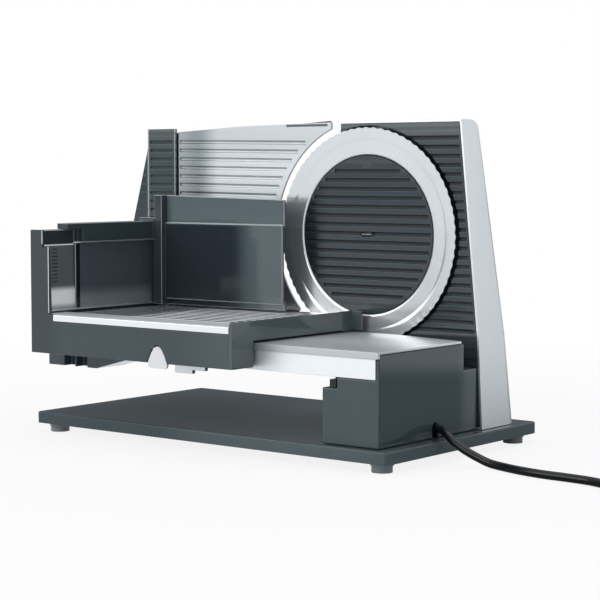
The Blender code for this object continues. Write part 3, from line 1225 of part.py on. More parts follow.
def stop_frame():
    wall = FRAME_WALL
    strip = [(FRAME_LEFT, FRAME_BOTTOM), (FRAME_RIGHT, FRAME_BOTTOM), (FRAME_RIGHT, FRAME_TOP), (FRAME_LEFT, FRAME_TOP),
             (FRAME_LEFT, WING_TOP), (FRAME_LEFT - WING_REACH, WING_MIDDLE), (FRAME_LEFT - WING_REACH, WING_LOW),
             (FRAME_LEFT, WING_FOOT)]
    frame = piece("stop_frame", prism(strip, "y", BLADE_PLANE, BLADE_PLANE + wall), ANTHRACITE)
    rear_right = FRAME_LEFT + FRAME_REAR_LENGTH
    join(frame, box((FRAME_LEFT, BLADE_PLANE, FRAME_BOTTOM), (rear_right, FRAME_BACK, FRAME_BOTTOM + wall)))
    join(frame, box((FRAME_LEFT, BLADE_PLANE, FRAME_BOTTOM), (FRAME_LEFT + wall, FRAME_BACK, FRAME_REAR_TOP)))
    join(frame, box((FRAME_LEFT, FRAME_BACK - wall, FRAME_BOTTOM), (rear_right, FRAME_BACK, FRAME_REAR_TOP)))
    join(frame, box((FRAME_LEFT, BLADE_PLANE, FRAME_BOTTOM),
                    (FRAME_LEFT + wall, BLADE_PLANE + FRAME_TOP_DEPTH, FRAME_TOP)))
    cut(frame, cylinder(ROD_RADIUS + GAP, "y", (ROD_X, 0, KNOB_HEIGHT), FRAME_BACK - wall - OVERRUN,
                        FRAME_BACK + OVERRUN, SMALL_STEPS))
    grooves = []
    for i in range(STOP_GROOVES + 1):
        height = STOP_GROOVE_TOP - i * STOP_GROOVE_PITCH
        grooves.append(groove(FRAME_LEFT + STRIP_EDGE, FRAME_RIGHT - STRIP_EDGE, height, BLADE_PLANE))
    cut(frame, *grooves)


def guide_rods():
    for name, height in (("guide_rod_low", ROD_LOW), ("guide_rod_high", ROD_HIGH)):
        piece(name, cylinder(ROD_RADIUS, "y", (ROD_X, 0, height), BLADE_PLANE + FRAME_WALL + GAP,
                             FRAME_BACK - FRAME_WALL - GAP, SMALL_STEPS), STEEL)


def stop_spindle():
    profile = [(0, BLADE_PLANE + FRAME_WALL + GAP), (ROD_RADIUS, BLADE_PLANE + FRAME_WALL + GAP),
               (ROD_RADIUS, FRAME_BACK + GAP + KNOB_BORE_LENGTH), (0, FRAME_BACK + GAP + KNOB_BORE_LENGTH)]
    piece("stop_spindle", turned(profile, "y", (ROD_X, 0, KNOB_HEIGHT), SMALL_STEPS), STEEL, KNOB_AXIS)


def thickness_knob():
    face = FRAME_BACK + GAP
    bore_end = face + KNOB_BORE_LENGTH + GAP
    profile = [(0, bore_end), (ROD_RADIUS + GAP, bore_end), (ROD_RADIUS + GAP, face), (KNOB_RADIUS, face),
               (KNOB_RADIUS, face + KNOB_LENGTH - KNOB_RIM), (KNOB_RADIUS - KNOB_RIM, face + KNOB_LENGTH),
               (0, face + KNOB_LENGTH)]
    solid = turned(profile, "y", (ROD_X, 0, KNOB_HEIGHT), ROUND_STEPS)
    knob = piece("thickness_knob", solid, BLACK, KNOB_AXIS)
    join(knob, box((ROD_X - KNOB_RIM / 2, face + KNOB_LENGTH - KNOB_RIM, KNOB_HEIGHT),
                   (ROD_X + KNOB_RIM / 2, face + KNOB_LENGTH + KNOB_RIM / 2, KNOB_HEIGHT + KNOB_RADIUS - KNOB_RIM)))


# Carriage

def carriage_frame():
    wall_top = LEFT_WALL_TOP
    deck_front = CARRIAGE_FACE + TRAY_LIP_SHEET + GAP
    frame = piece("carriage_frame", box((CARRIAGE_LEFT, deck_front, DECK_BOTTOM),
                                        (CARRIAGE_RIGHT, CARRIAGE_BACK, DECK_TOP)), ANTHRACITE, CARRIAGE)
    join(frame, box((CARRIAGE_LEFT, WINDOW_FRONT, DECK_BOTTOM), (WALL_INNER, CARRIAGE_BACK, wall_top)))
    flare = CARRIAGE_LEFT + POST_WIDTH + POST_FLARE
    post = [(CARRIAGE_LEFT, BAR_BOTTOM), (flare + POST_FOOT, BAR_BOTTOM), (flare + POST_FOOT, TRAY_TOP),
            (flare, TRAY_TOP), (CARRIAGE_LEFT + POST_WIDTH, POST_SHOULDER),
            (CARRIAGE_LEFT + POST_TOP_WIDTH, POST_SHOULDER), (CARRIAGE_LEFT + POST_TOP_WIDTH, POST_TOP),
            (CARRIAGE_LEFT, POST_TOP)]
    join(frame, prism(post, "y", CARRIAGE_FACE, CARRIAGE_FACE + POST_DEPTH))
    join(frame, box((CARRIAGE_RIGHT - RIGHT_WALL, deck_front, DECK_BOTTOM),
                    (CARRIAGE_RIGHT, CARRIAGE_BACK, RIGHT_WALL_TOP)))
    join(frame, box((CARRIAGE_RIGHT - RIGHT_WALL, CARRIAGE_BACK - RIGHT_FLANGE_THICKNESS, DECK_BOTTOM),
                    (CARRIAGE_RIGHT + RIGHT_FLANGE, CARRIAGE_BACK, RIGHT_WALL_TOP)))
    join(frame, box((CARRIAGE_LEFT, CARRIAGE_FACE, BAR_BOTTOM), (CARRIAGE_RIGHT, BAR_BACK, BAR_TOP)))
    join(frame, box((CARRIAGE_RIGHT - RIGHT_WALL, CARRIAGE_FACE, BAR_BOTTOM),
                    (CARRIAGE_RIGHT, BAR_BACK, RIGHT_FRONT_TOP)))
    cut(frame, prism(arch_outline(0, BAR_BOTTOM - OVERRUN, 0), "y", CARRIAGE_FACE - OVERRUN, BAR_BACK + OVERRUN))
    cut(frame, cylinder(LEVER_PIN_RADIUS + GAP, "x", (0, LEVER_MIDDLE, LEVER_PIVOT), ARCH_CENTRE - LEVER_PIN_HALF - GAP,
                        ARCH_CENTRE + LEVER_PIN_HALF + GAP, PIN_STEPS))


def arch_outline(side_gap, bottom, top_gap):
    """The arch's opening in X and Z, drawn in from its sides and its top."""
    half = ARCH_HALF_WIDTH - side_gap
    outline = [(ARCH_CENTRE + half, bottom)]
    for i in range(ARCH_STEPS + 1):
        across = 1 - 2 * i / ARCH_STEPS
        outline.append((ARCH_CENTRE + half * across, BAR_BOTTOM + (ARCH_HEIGHT - top_gap) * (1 - across ** 2)))
    outline.append((ARCH_CENTRE - half, bottom))
    return outline


def carriage_lever():
    outline = arch_outline(LEVER_SIDE_GAP, BAR_BOTTOM - LEVER_DROP + LEVER_CORNER, LEVER_TOP_GAP)
    half = ARCH_HALF_WIDTH - LEVER_SIDE_GAP
    foot = arc((ARCH_CENTRE - half + LEVER_CORNER, BAR_BOTTOM - LEVER_DROP + LEVER_CORNER), LEVER_CORNER, math.pi,
               3 * math.pi / 2, LENS_STEPS)
    foot += arc((ARCH_CENTRE + half - LEVER_CORNER, BAR_BOTTOM - LEVER_DROP + LEVER_CORNER), LEVER_CORNER,
                3 * math.pi / 2, 2 * math.pi, LENS_STEPS)
    lever = piece("carriage_lever", prism(outline + foot[1:-1], "y", LEVER_MIDDLE - LEVER_SHEET / 2,
                                          LEVER_MIDDLE + LEVER_SHEET / 2), SILVER, LEVER_AXIS)
    join(lever, cylinder(LEVER_PIN_RADIUS, "x", (0, LEVER_MIDDLE, LEVER_PIVOT), ARCH_CENTRE - LEVER_PIN_HALF,
                         ARCH_CENTRE + LEVER_PIN_HALF, PIN_STEPS))


def tray():
    right = CARRIAGE_RIGHT - RIGHT_WALL - GAP
    lip_left = CARRIAGE_LEFT + POST_WIDTH + POST_FLARE + POST_FOOT + GAP
    behind_post = CARRIAGE_FACE + POST_DEPTH + GAP
    sheet = DECK_TOP + GAP
    outline = [(lip_left, CARRIAGE_FACE), (right, CARRIAGE_FACE), (right, CARRIAGE_BACK - GAP),
               (WALL_INNER + GAP, CARRIAGE_BACK - GAP), (WALL_INNER + GAP, behind_post), (lip_left, behind_post)]
    made = piece("tray", prism(outline, "z", sheet, TRAY_TOP), SILVER, CARRIAGE)
    join(made, box((lip_left, CARRIAGE_FACE, BAR_TOP + GAP), (right, CARRIAGE_FACE + TRAY_LIP_SHEET, TRAY_TOP)))


def wall_pieces():
    window_outer = WALL_INNER - WINDOW_SHEET
    piece("scale_window", box((window_outer, WINDOW_FRONT, SIDE_BOTTOM), (WALL_INNER, WINDOW_BACK, WINDOW_TOP)),
          CLEAR, CARRIAGE)
    cap_left = CARRIAGE_LEFT + GAP
    rail_front = WINDOW_BACK + TOP_RAIL_BEHIND_WINDOW
    cap_back = WINDOW_BACK - CAP_SHORT
    piece("window_cap", box((cap_left, WINDOW_FRONT, WINDOW_TOP + GAP),
                            (cap_left + CAP_WIDTH - GAP, cap_back, CAP_TOP)), BLACK, CARRIAGE)
    piece("side_wall", box((WALL_INNER - SIDE_SHEET, WINDOW_BACK + GAP, SIDE_BOTTOM),
                           (WALL_INNER, CARRIAGE_BACK, SIDE_TOP)), SMOKE, CARRIAGE)
    inner = WALL_INNER + TOP_RAIL_INSIDE
    outer = inner - TOP_RAIL_WIDTH
    guide = piece("wall_top_rail", box((outer, rail_front, SIDE_TOP + GAP), (inner, CARRIAGE_BACK, TOP_RAIL_TOP)),
                  ANTHRACITE, CARRIAGE)
    join(guide, box((outer, rail_front - TOP_RAIL_TONGUE, CAP_TOP + GAP), (inner, CARRIAGE_BACK, TOP_RAIL_TOP)))
    join(guide, box((outer, cap_back + GAP, SIDE_TOP + GAP), (inner - TOP_RAIL_NECK_IN, CARRIAGE_BACK, TOP_RAIL_TOP)))


def runners():
    back = SKIRT_FACE - GAP
    front = BAR_BACK + GAP
    top = LIP_BOTTOM - GAP
    starts = (CARRIAGE_LEFT + SHOE_INSET, CARRIAGE_RIGHT - SHOE_INSET - SHOE_LENGTH)
    for name, start in zip(("runner_left", "runner_right"), starts):
        piece(name, box((start, front, top - SHOE_HEIGHT), (start + SHOE_LENGTH, back, top)), BLACK, CARRIAGE)
    bottom = RAIL_HEIGHT + GAP
    rear = CARRIAGE_BACK - GLIDE_INSET
    piece("glide_strip", box((CARRIAGE_LEFT + GLIDE_INSET, rear - GLIDE_WIDTH, bottom),
                             (CARRIAGE_RIGHT - GLIDE_INSET, rear, bottom + GLIDE_THICKNESS)), BLACK, CARRIAGE)


# Pusher

def pusher_column():
    left = WALL_INNER + COLUMN_FROM_WALL
    right = left + COLUMN_THICK
    front = PUSHER_FRONT + COLUMN_BEHIND_FACE - COLUMN_HALF_DEPTH
    back = PUSHER_FRONT + COLUMN_BEHIND_FACE + COLUMN_HALF_DEPTH
    rail_inner = WALL_INNER + TOP_RAIL_INSIDE
    rail_outer = rail_inner - TOP_RAIL_WIDTH
    outer = rail_outer - GAP - HOOK_THICKNESS
    hook_top = TOP_RAIL_TOP + GAP + HOOK_THICKNESS
    column = piece("pusher_column", box((left, front, PUSHER_BOTTOM), (right, back, PUSHER_TOP_LEFT)), BLACK, PUSHER)
    join(column, box((outer, front, SIDE_TOP), (right, back, hook_top)))
    cut(column, box((rail_outer - GAP, front - OVERRUN, SIDE_TOP - OVERRUN),
                    (rail_inner + GAP, back + OVERRUN, TOP_RAIL_TOP + GAP)))
    join(column, box((WALL_INNER + GAP, PUSHER_FRONT, PUSHER_BOTTOM),
                     (left + COLUMN_THICK / 2, PUSHER_FRONT + COLUMN_WEB, SIDE_TOP)))


def pusher_panel():
    left = WALL_INNER + COLUMN_FROM_WALL + COLUMN_THICK + GAP
    right = CARRIAGE_RIGHT - PUSHER_RIGHT_SHORT
    front = PUSHER_FRONT
    set_back = front + PUSHER_STEP
    thick = PUSHER_SHEET
    ledge = PUSHER_LEDGE_THICKNESS
    outline = [(set_back, PUSHER_BOTTOM), (set_back + thick, PUSHER_BOTTOM), (set_back + thick, PUSHER_LOW_LEDGE),
               (front + thick, PUSHER_LOW_LEDGE), (front + thick, PUSHER_LEDGE - ledge),
               (set_back + thick, PUSHER_LEDGE - ledge), (set_back + thick, PUSHER_TOP_LEFT),
               (set_back, PUSHER_TOP_LEFT), (set_back, PUSHER_LEDGE), (front, PUSHER_LEDGE),
               (front, PUSHER_LOW_LEDGE - ledge), (set_back, PUSHER_LOW_LEDGE - ledge)]
    panel = piece("pusher_panel", prism(outline, "x", left, right), SMOKE, PUSHER)
    slant = [(left, PUSHER_TOP_LEFT), (right, PUSHER_TOP_RIGHT), (right + OVERRUN, PUSHER_TOP_RIGHT),
             (right + OVERRUN, PUSHER_TOP_LEFT + OVERRUN), (left, PUSHER_TOP_LEFT + OVERRUN)]
    cut(panel, prism(slant, "y", front - OVERRUN, set_back + thick + OVERRUN))


# Mains lead: strain relief, clamp, the length that shows, the coil put away, and the plug

def strain_relief():
    shoulder = RELIEF_START + RELIEF_STRAIGHT
    profile = [(0, RELIEF_START), (RELIEF_RADIUS, RELIEF_START), (RELIEF_RADIUS, shoulder),
               (RELIEF_TIP_RADIUS, RELIEF_END), (0, RELIEF_END)]
    piece("strain_relief", turned(profile, "x", (0, CORD_EXIT_Y, CORD_EXIT_HEIGHT), SMALL_STEPS), BLACK)


def cord_clamp():
    start = RELIEF_START - CLAMP_OVERHANG
    top = CORD_EXIT_HEIGHT + CLAMP_HALF_WIDTH
    clamp = piece("cord_clamp", box((start, CORD_EXIT_Y - CLAMP_HALF_WIDTH, GAP),
                                    (start + CLAMP_LENGTH, CORD_EXIT_Y + CLAMP_HALF_WIDTH, top)), BLACK)
    cut(clamp, cylinder(RELIEF_RADIUS + GAP, "x", (0, CORD_EXIT_Y, CORD_EXIT_HEIGHT), RELIEF_START - GAP,
                        RELIEF_END, SMALL_STEPS))


# The lead's route, in millimetres in the machine frame: slot, fall past the plate's edge, table, out of sight
LEAD_ROUTE = (
    (162.4, -23.0, 8.0), (166.5, -23.1, 8.0), (171.5, -25.6, 7.6), (176.9, -28.6, 6.2), (183.9, -30.4, 1.8),
    (190.9, -30.6, -2.5), (199.5, -30.6, -6.4), (208.1, -30.6, -9.6), (217.5, -31.2, -12.2), (231.1, -33.3, -13.25),
    (247.3, -38.6, -13.25), (267.0, -42.4, -13.25), (287.0, -43.4, -13.25), (308.0, -46.0, -13.25),
    (330.0, -54.0, -13.25), (350.0, -59.2, -13.25), (362.0, -60.0, -13.25), (368.5, -60.0, -13.25),
)

# The end of the lead, from the top of the coil down to the plug
TAIL_ROUTE = (
    (381.5, -60.0, -6.5), (388.0, -60.0, -6.5), (399.0, -60.6, -8.4), (412.0, -63.4, -12.0), (424.0, -68.5, -13.25),
    (434.0, -73.5, -12.6), (443.0, -77.2, -10.2), (450.0, -78.6, -9.55), (456.5, -78.6, -9.55),
)

COIL_START = (375.0, -60.0)


def smooth_path(route, spacing):
    """Points along a smooth curve through the route's own points."""
    places = [Vector(point) * MM for point in route]
    path = []
    for i in range(len(places) - 1):
        before = places[max(i - 1, 0)]
        after = places[min(i + 2, len(places) - 1)]
        start = places[i]
        end = places[i + 1]
        steps = max(1, round((end - start).length / spacing))
        for step in range(steps):
            share = step / steps
            path.append(0.5 * (2 * start + (end - before) * share
                               + (2 * before - 5 * start + 4 * end - after) * share ** 2
                               + (3 * start - before - 3 * end + after) * share ** 3))
    return path + [places[-1]]


def tube_along(name, path, finish, resolution):
    curve = bpy.data.curves.new(name, "CURVE")
    curve.dimensions = "3D"
    curve.bevel_depth = CORD_RADIUS
    curve.bevel_resolution = resolution
    curve.use_fill_caps = True
    spline = curve.splines.new("POLY")
    spline.points.add(len(path) - 1)
    for point, place in zip(spline.points, path):
        point.co = (*place, 1.0)
    curve.materials.append(finish)
    made = bpy.data.objects.new(name, curve)
    bpy.context.scene.collection.objects.link(made)
    made.parent = MACHINE
    return made


def coil_path():
    """Two layers of loops: the lower spirals in, the upper out, with the climb where the spiral turns."""
    start = Vector((*COIL_START, 0)) * MM
    outer = COIL_MIDDLE_RADIUS + COIL_SPACING * COIL_LAYER_TURNS / 2
    centre = start + Vector((0, outer, 0))
    turns = 2 * COIL_LAYER_TURNS
    steps = round(turns * COIL_LOOP_SEGMENTS)
    path = [Vector((start.x - CORD_DIAMETER, start.y, CORD_LEVEL)) + Vector((GAP, 0, 0))]
    for step in range(steps + 1):
        turn = turns * step / steps
        radius = outer - COIL_SPACING * min(turn, turns - turn)
        share = min(max((turn - COIL_LAYER_TURNS) * 2 + 1 / 2, 0), 1)
        climb = COIL_LAYER_RISE * share ** 2 * (3 - 2 * share)
        angle = 2 * math.pi * turn - math.pi / 2
        path.append(Vector((centre.x + radius * math.cos(angle), centre.y + radius * math.sin(angle),
                            CORD_LEVEL + climb)))
    last = path[-1]
    path.append(Vector((last.x + CORD_DIAMETER, start.y, last.z)))
    return path


def least_gap(path, skip):
    """The least space between a tube's surfaces, for points that lie more than skip steps apart."""
    least = math.inf
    for i in range(len(path)):
        for j in range(i + skip, len(path)):
            least = min(least, (path[i] - path[j]).length)
    return least - CORD_DIAMETER


def plug():
    tail_end = Vector(TAIL_ROUTE[-1]) * MM
    start = tail_end.x + GAP
    y = tail_end.y
    z = TABLE + PLUG_THICKNESS / 2 + TABLE_CLEAR
    half = PLUG_WIDTH / 2
    tip = PLUG_TIP_WIDTH / 2
    back = start + PLUG_TAIL_LENGTH
    face = back + PLUG_LENGTH
    outline = [(back, y - tip), (face - PLUG_TAIL_LENGTH / 2, y - half), (face, y - half), (face, y + half),
               (face - PLUG_TAIL_LENGTH / 2, y + half), (back, y + tip)]
    body = piece("plug_body", prism(outline, "z", TABLE + TABLE_CLEAR, TABLE + TABLE_CLEAR + PLUG_THICKNESS), BLACK)
    profile = [(0, start), (PLUG_TAIL_RADIUS * 4 / 5, start), (PLUG_TAIL_RADIUS, back), (PLUG_TAIL_RADIUS, back + OVERRUN),
               (0, back + OVERRUN)]
    join(body, turned(profile, "x", (0, y, z), SMALL_STEPS))
    for name, side in (("plug_pin_near", -1), ("plug_pin_far", 1)):
        place = (0, y + side * PIN_SPACING / 2, z)
        cut(body, cylinder(PIN_RADIUS + GAP, "x", place, face - PIN_SEAT - GAP, face + OVERRUN, PIN_STEPS))
        piece(name, cylinder(PIN_RADIUS, "x", place, face - PIN_SEAT, face + PIN_LENGTH, PIN_STEPS), BRASS)


def mains_lead():
    tube_along("cord_lead", smooth_path(LEAD_ROUTE, 2 * CORD_DIAMETER), BLACK, 2)
    coil = coil_path()
    tube_along("cord_coil", coil, BLACK, 1)
    print("least gap of the coil to itself, mm:", round(least_gap(coil, COIL_LOOP_SEGMENTS // 2) / MM, 3))
    tube_along("cord_tail", smooth_path(TAIL_ROUTE, 2 * CORD_DIAMETER), BLACK, 2)
    plug()


def build():
    base_plate()
    feet()
    column_housing()
    column_catch()
    rail()
    rail_beam()
    rail_end_block()
    rail_bracket()
    tower_shell()
    tower_panel()
    gearbox_plate()
    upper_bearing()
    motor_can()
    motor_bell()
    motor_magnets()
    motor_rotor()
    worm_shaft()
    blade()
    blade_screws()
    worm_gear()
    blade_bush()
    blade_axle()
    blade_cover()
    cover_lock()
    switch_button()
    switch_body()
    stop_plate()
    stop_carrier()
    stop_frame()
    guide_rods()
    stop_spindle()
    thickness_knob()
    carriage_frame()
    carriage_lever()
    tray()
    wall_pieces()
    runners()
    pusher_column()
    pusher_panel()
    strain_relief()
    cord_clamp()
    mains_lead()


build()
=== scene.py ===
"""Food slicer: the finished look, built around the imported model."""
import json
import math
import bmesh
import bpy
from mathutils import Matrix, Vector


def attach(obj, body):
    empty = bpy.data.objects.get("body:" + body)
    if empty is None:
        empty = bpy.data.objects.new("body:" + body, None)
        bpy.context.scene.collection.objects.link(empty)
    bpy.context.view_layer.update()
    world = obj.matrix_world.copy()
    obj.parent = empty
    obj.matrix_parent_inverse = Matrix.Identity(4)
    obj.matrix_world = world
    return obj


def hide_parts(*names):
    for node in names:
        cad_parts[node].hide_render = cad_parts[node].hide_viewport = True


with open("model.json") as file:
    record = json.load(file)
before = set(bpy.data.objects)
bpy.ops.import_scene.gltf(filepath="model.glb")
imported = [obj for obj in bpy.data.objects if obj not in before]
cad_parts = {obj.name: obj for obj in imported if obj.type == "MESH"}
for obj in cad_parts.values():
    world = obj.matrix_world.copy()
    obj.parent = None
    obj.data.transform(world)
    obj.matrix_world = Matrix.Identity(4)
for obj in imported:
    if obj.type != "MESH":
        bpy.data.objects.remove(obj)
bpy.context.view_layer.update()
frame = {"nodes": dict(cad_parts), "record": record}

MM = 0.001
# Places are in the machine's millimetres: X to the right along the rail, Y away from the food side, Z up
# from the board's top. This shift takes them to the model's frame.
MIDDLE = Vector((7.15, 10.35, 16.4))


def at(x, y, z):
    """A place in the machine's millimetres, in the model's metres."""
    return (Vector((x, y, z)) + MIDDLE) * MM


def level(axis, place):
    """A place on one of the machine's axes, in the model's metres."""
    return (place + MIDDLE["XYZ".index(axis)]) * MM


def mm(*lengths):
    """Millimetres in metres."""
    return tuple(length * MM for length in lengths)


# Camera, fitted to the photograph

CAMERA_PLACE = at(895.39, -1109.25, 197.77)
CAMERA_DOWN = math.radians(4.17)
CAMERA_SIDE = math.radians(38.31)
CAMERA_LENS = 106.84
CAMERA_SENSOR = 36.0

camera = bpy.data.objects.new("camera", bpy.data.cameras.new("camera"))
camera.data.lens = CAMERA_LENS
camera.data.sensor_width = CAMERA_SENSOR
camera.data.clip_start = 0.05
camera.data.clip_end = 60.0
camera.location = CAMERA_PLACE
camera.rotation_euler = (math.pi / 2 - CAMERA_DOWN, 0, CAMERA_SIDE)
bpy.context.scene.collection.objects.link(camera)
bpy.context.scene.camera = camera


# Nodes

def add(tree, kind, settings=None, **inputs):
    """A node with its settings, and its inputs given as values or as other nodes' outputs."""
    node = tree.nodes.new(kind)
    for key, value in (settings or {}).items():
        setattr(node, key, value)
    for key, value in inputs.items():
        numbered = key[0] == "i" and key[1:].isdigit()
        socket = node.inputs[int(key[1:]) if numbered else key.replace("_", " ")]
        if isinstance(value, bpy.types.NodeSocket):
            tree.links.new(value, socket)
        else:
            socket.default_value = value
    return node


def in_order(values):
    """Values as a node's first inputs."""
    return {f"i{i}": value for i, value in enumerate(values)}


def reckon(tree, operation, *values):
    """One step of arithmetic."""
    return add(tree, "ShaderNodeMath", {"operation": operation}, **in_order(values)).outputs[0]


def reckon_vector(tree, operation, *values, **named):
    """One step of arithmetic with vectors. A length comes out as a number."""
    node = add(tree, "ShaderNodeVectorMath", {"operation": operation}, **in_order(values), **named)
    return node.outputs["Value" if operation == "LENGTH" else 0]


def parts_of(tree, vector):
    return add(tree, "ShaderNodeSeparateXYZ", i0=vector).outputs


def vector_of(tree, *parts):
    return add(tree, "ShaderNodeCombineXYZ", **in_order(parts)).outputs[0]


def ranged(tree, value, start, end, low=0.0, high=1.0, kind="LINEAR"):
    """The value carried from the range start to end over to the range low to high."""
    return add(tree, "ShaderNodeMapRange", {"interpolation_type": kind}, i0=value, i1=start, i2=end, i3=low,
               i4=high).outputs[0]


def tones(tree, share, first, second):
    """Two colours mixed by a share. Each is three values or another node's output."""
    first, second = ((*colour, 1.0) if isinstance(colour, tuple) else colour for colour in (first, second))
    return add(tree, "ShaderNodeMix", {"data_type": "RGBA"}, i0=share, i6=first, i7=second).outputs[2]


def noise(tree, place, scale, detail=3.0, rough=0.5):
    node = add(tree, "ShaderNodeTexNoise", Vector=place, Scale=scale, Detail=detail, Roughness=rough)
    return node.outputs[0]


# Materials

# How the lines of brushed metal are stretched: not at all, along the rail, along the tray
EVEN = (1, 1, 1)
RAIL_LINES = (0.15, 1, 1)
TRAY_LINES = (0.1, 1, 1)
# Detail and roughness of the noise in lines and rings
LINE_NOISE = (4.0, 0.65)
RING_NOISE = (3.0, 0.7)
CLOUD_SCALE = 18.0
SOFT_DETAIL = 2.0
METAL_CLOUD_SCALE = 14.0
METAL_LINE_SHARE = 0.6
GLOSS_SCALE = 60.0
# Shares of its roughness between which a finish wanders
PLASTIC_GLOSS = (0.85, 1.15)
METAL_GLOSS = (0.8, 1.25)
BLADE_GLOSS = (0.75, 1.3)
GRAIN_HEIGHT = 0.1 * MM
LINE_HEIGHT = 0.08 * MM
RING_HEIGHT = 0.06 * MM
RING_SCALE = 5200.0
STREAK_SCALE = 2.6
RING_SHARE = 0.35
RING_BUMP = 0.08
BLADE_TONES = (0.9, 1.06)
BLADE_METALLIC = 0.82

# A groove's painted shade: the depths from the face over which it comes and goes, how much is there at the
# lip, its share of the colour, its roughness and where on the wave its edge starts
GROOVE_COMES = (-0.05, 0.8)
GROOVE_GOES = (1.3, 1.6)
GROOVE_LIP_SHARE = 0.45
GROOVE_COLOUR_SHARE = 0.06
GROOVE_ROUGHNESS = 0.6
GROOVE_EDGE_WAVE = 0.15


def shader_tree(name):
    made = bpy.data.materials.new(name)
    made.use_nodes = True
    return made, made.node_tree, made.node_tree.nodes["Principled BSDF"]


def coordinates(tree):
    return add(tree, "ShaderNodeTexCoord").outputs["Object"]


def object_place(tree, stretch=EVEN, centre=(0, 0, 0)):
    """Object coordinates about a centre, stretched along each axis."""
    moved = add(tree, "ShaderNodeMapping", {"vector_type": "POINT"}, Vector=coordinates(tree),
                Location=tuple(-c * s for c, s in zip(centre, stretch)), Scale=stretch)
    return moved.outputs[0]


def shade_of(colour, share):
    return tuple(min(1.0, c * share) for c in colour)


def along(tree, axis, start, end, low=0.0, high=1.0):
    """A value that runs softly from low to high between two places on one of the machine's axes."""
    part = parts_of(tree, coordinates(tree))["XYZ".index(axis)]
    return ranged(tree, part, level(axis, start), level(axis, end), low, high, "SMOOTHSTEP")


def tinted(tree, paint, tints):
    """The colour changed along the machine's axes. Each tint is an axis, the places where it starts and
    ends, and the colour reached."""
    for axis, start, end, reached in tints:
        paint = tones(tree, along(tree, axis, start, end), paint, reached)
    return paint


def groove_shade_wave(tree, middle, pitch):
    """A value that rises softly to 1 at the middle of each level groove, where the painted shade is darkest.
    """
    height = parts_of(tree, coordinates(tree))[2]
    radians_per_metre = 2 * math.pi / (pitch * MM)
    start = -radians_per_metre * level("Z", middle)
    turn = reckon(tree, "MULTIPLY_ADD", height, radians_per_metre, start)
    return ranged(tree, reckon(tree, "COSINE", turn), GROOVE_EDGE_WAVE, 1.0, kind="SMOOTHSTEP")


def wandering(tree, share, roughness, spread):
    """A roughness that wanders between two shares of itself."""
    return ranged(tree, share, 0.0, 1.0, roughness * spread[0], roughness * spread[1])


def finish_with(tree, shader, paint, gloss, height, strength, rise):
    """The colour, the roughness and a bump put on the shader."""
    tree.links.new(paint, shader.inputs["Base Color"])
    tree.links.new(gloss, shader.inputs["Roughness"])
    bump = add(tree, "ShaderNodeBump", Height=height, Strength=strength, Distance=rise)
    tree.links.new(bump.outputs[0], shader.inputs["Normal"])


def plastic(name, colour, roughness, grain=1400.0, depth=0.004, tone=0.05, alpha=1.0, specular=0.5,
            grooves=None, tints=()):
    """Moulded plastic: fine spark-eroded grain, faint flow clouds and a roughness that wanders. Grooves,
    which get a painted shade, are the face that they sink from, the height of one, their pitch and how dark
    the shade gets."""
    made, tree, shader = shader_tree(name)
    place = object_place(tree)
    clouds = noise(tree, place, CLOUD_SCALE, SOFT_DETAIL)
    paint = tinted(tree, tones(tree, clouds, shade_of(colour, 1 - tone), shade_of(colour, 1 + tone)), tints)
    gloss = wandering(tree, noise(tree, place, GLOSS_SCALE), roughness, PLASTIC_GLOSS)
    # Painted shade in the grooves: the colour darkens where the face sinks, most at each groove's middle, and
    # the roughness rises there
    if grooves:
        face, middle, pitch, dark = grooves
        comes = along(tree, "Y", face + GROOVE_COMES[0], face + GROOVE_COMES[1], GROOVE_LIP_SHARE, 1.0)
        goes = along(tree, "Y", face + GROOVE_GOES[0], face + GROOVE_GOES[1], 1.0, 0.0)
        deep = reckon(tree, "MULTIPLY", comes, goes)
        sunk = reckon(tree, "MULTIPLY", deep, groove_shade_wave(tree, middle, pitch))
        share = reckon(tree, "MULTIPLY", sunk, dark)
        paint = tones(tree, share, paint, shade_of(colour, GROOVE_COLOUR_SHARE))
        gloss = add(tree, "ShaderNodeMix", i0=sunk, i2=gloss, i3=GROOVE_ROUGHNESS).outputs[0]
    finish_with(tree, shader, paint, gloss, noise(tree, place, grain, SOFT_DETAIL), depth, GRAIN_HEIGHT)
    shader.inputs["Alpha"].default_value = alpha
    shader.inputs["Specular IOR Level"].default_value = specular
    return made


def brushed(name, colour, roughness, stretch, scale, metallic=1.0, depth=0.1, tone=0.05, tints=()):
    """Metal with fine lines along the axis that is least stretched."""
    made, tree, shader = shader_tree(name)
    lines = noise(tree, object_place(tree, stretch), scale, *LINE_NOISE)
    clouds = noise(tree, object_place(tree), METAL_CLOUD_SCALE, SOFT_DETAIL)
    both = reckon(tree, "MULTIPLY_ADD", lines, METAL_LINE_SHARE,
                  ranged(tree, clouds, 0.0, 1.0, 0.0, 1 - METAL_LINE_SHARE))
    paint = tinted(tree, tones(tree, both, shade_of(colour, 1 - tone), shade_of(colour, 1 + tone)), tints)
    gloss = wandering(tree, lines, roughness, METAL_GLOSS)
    finish_with(tree, shader, paint, gloss, lines, depth, LINE_HEIGHT)
    shader.inputs["Metallic"].default_value = metallic
    return made


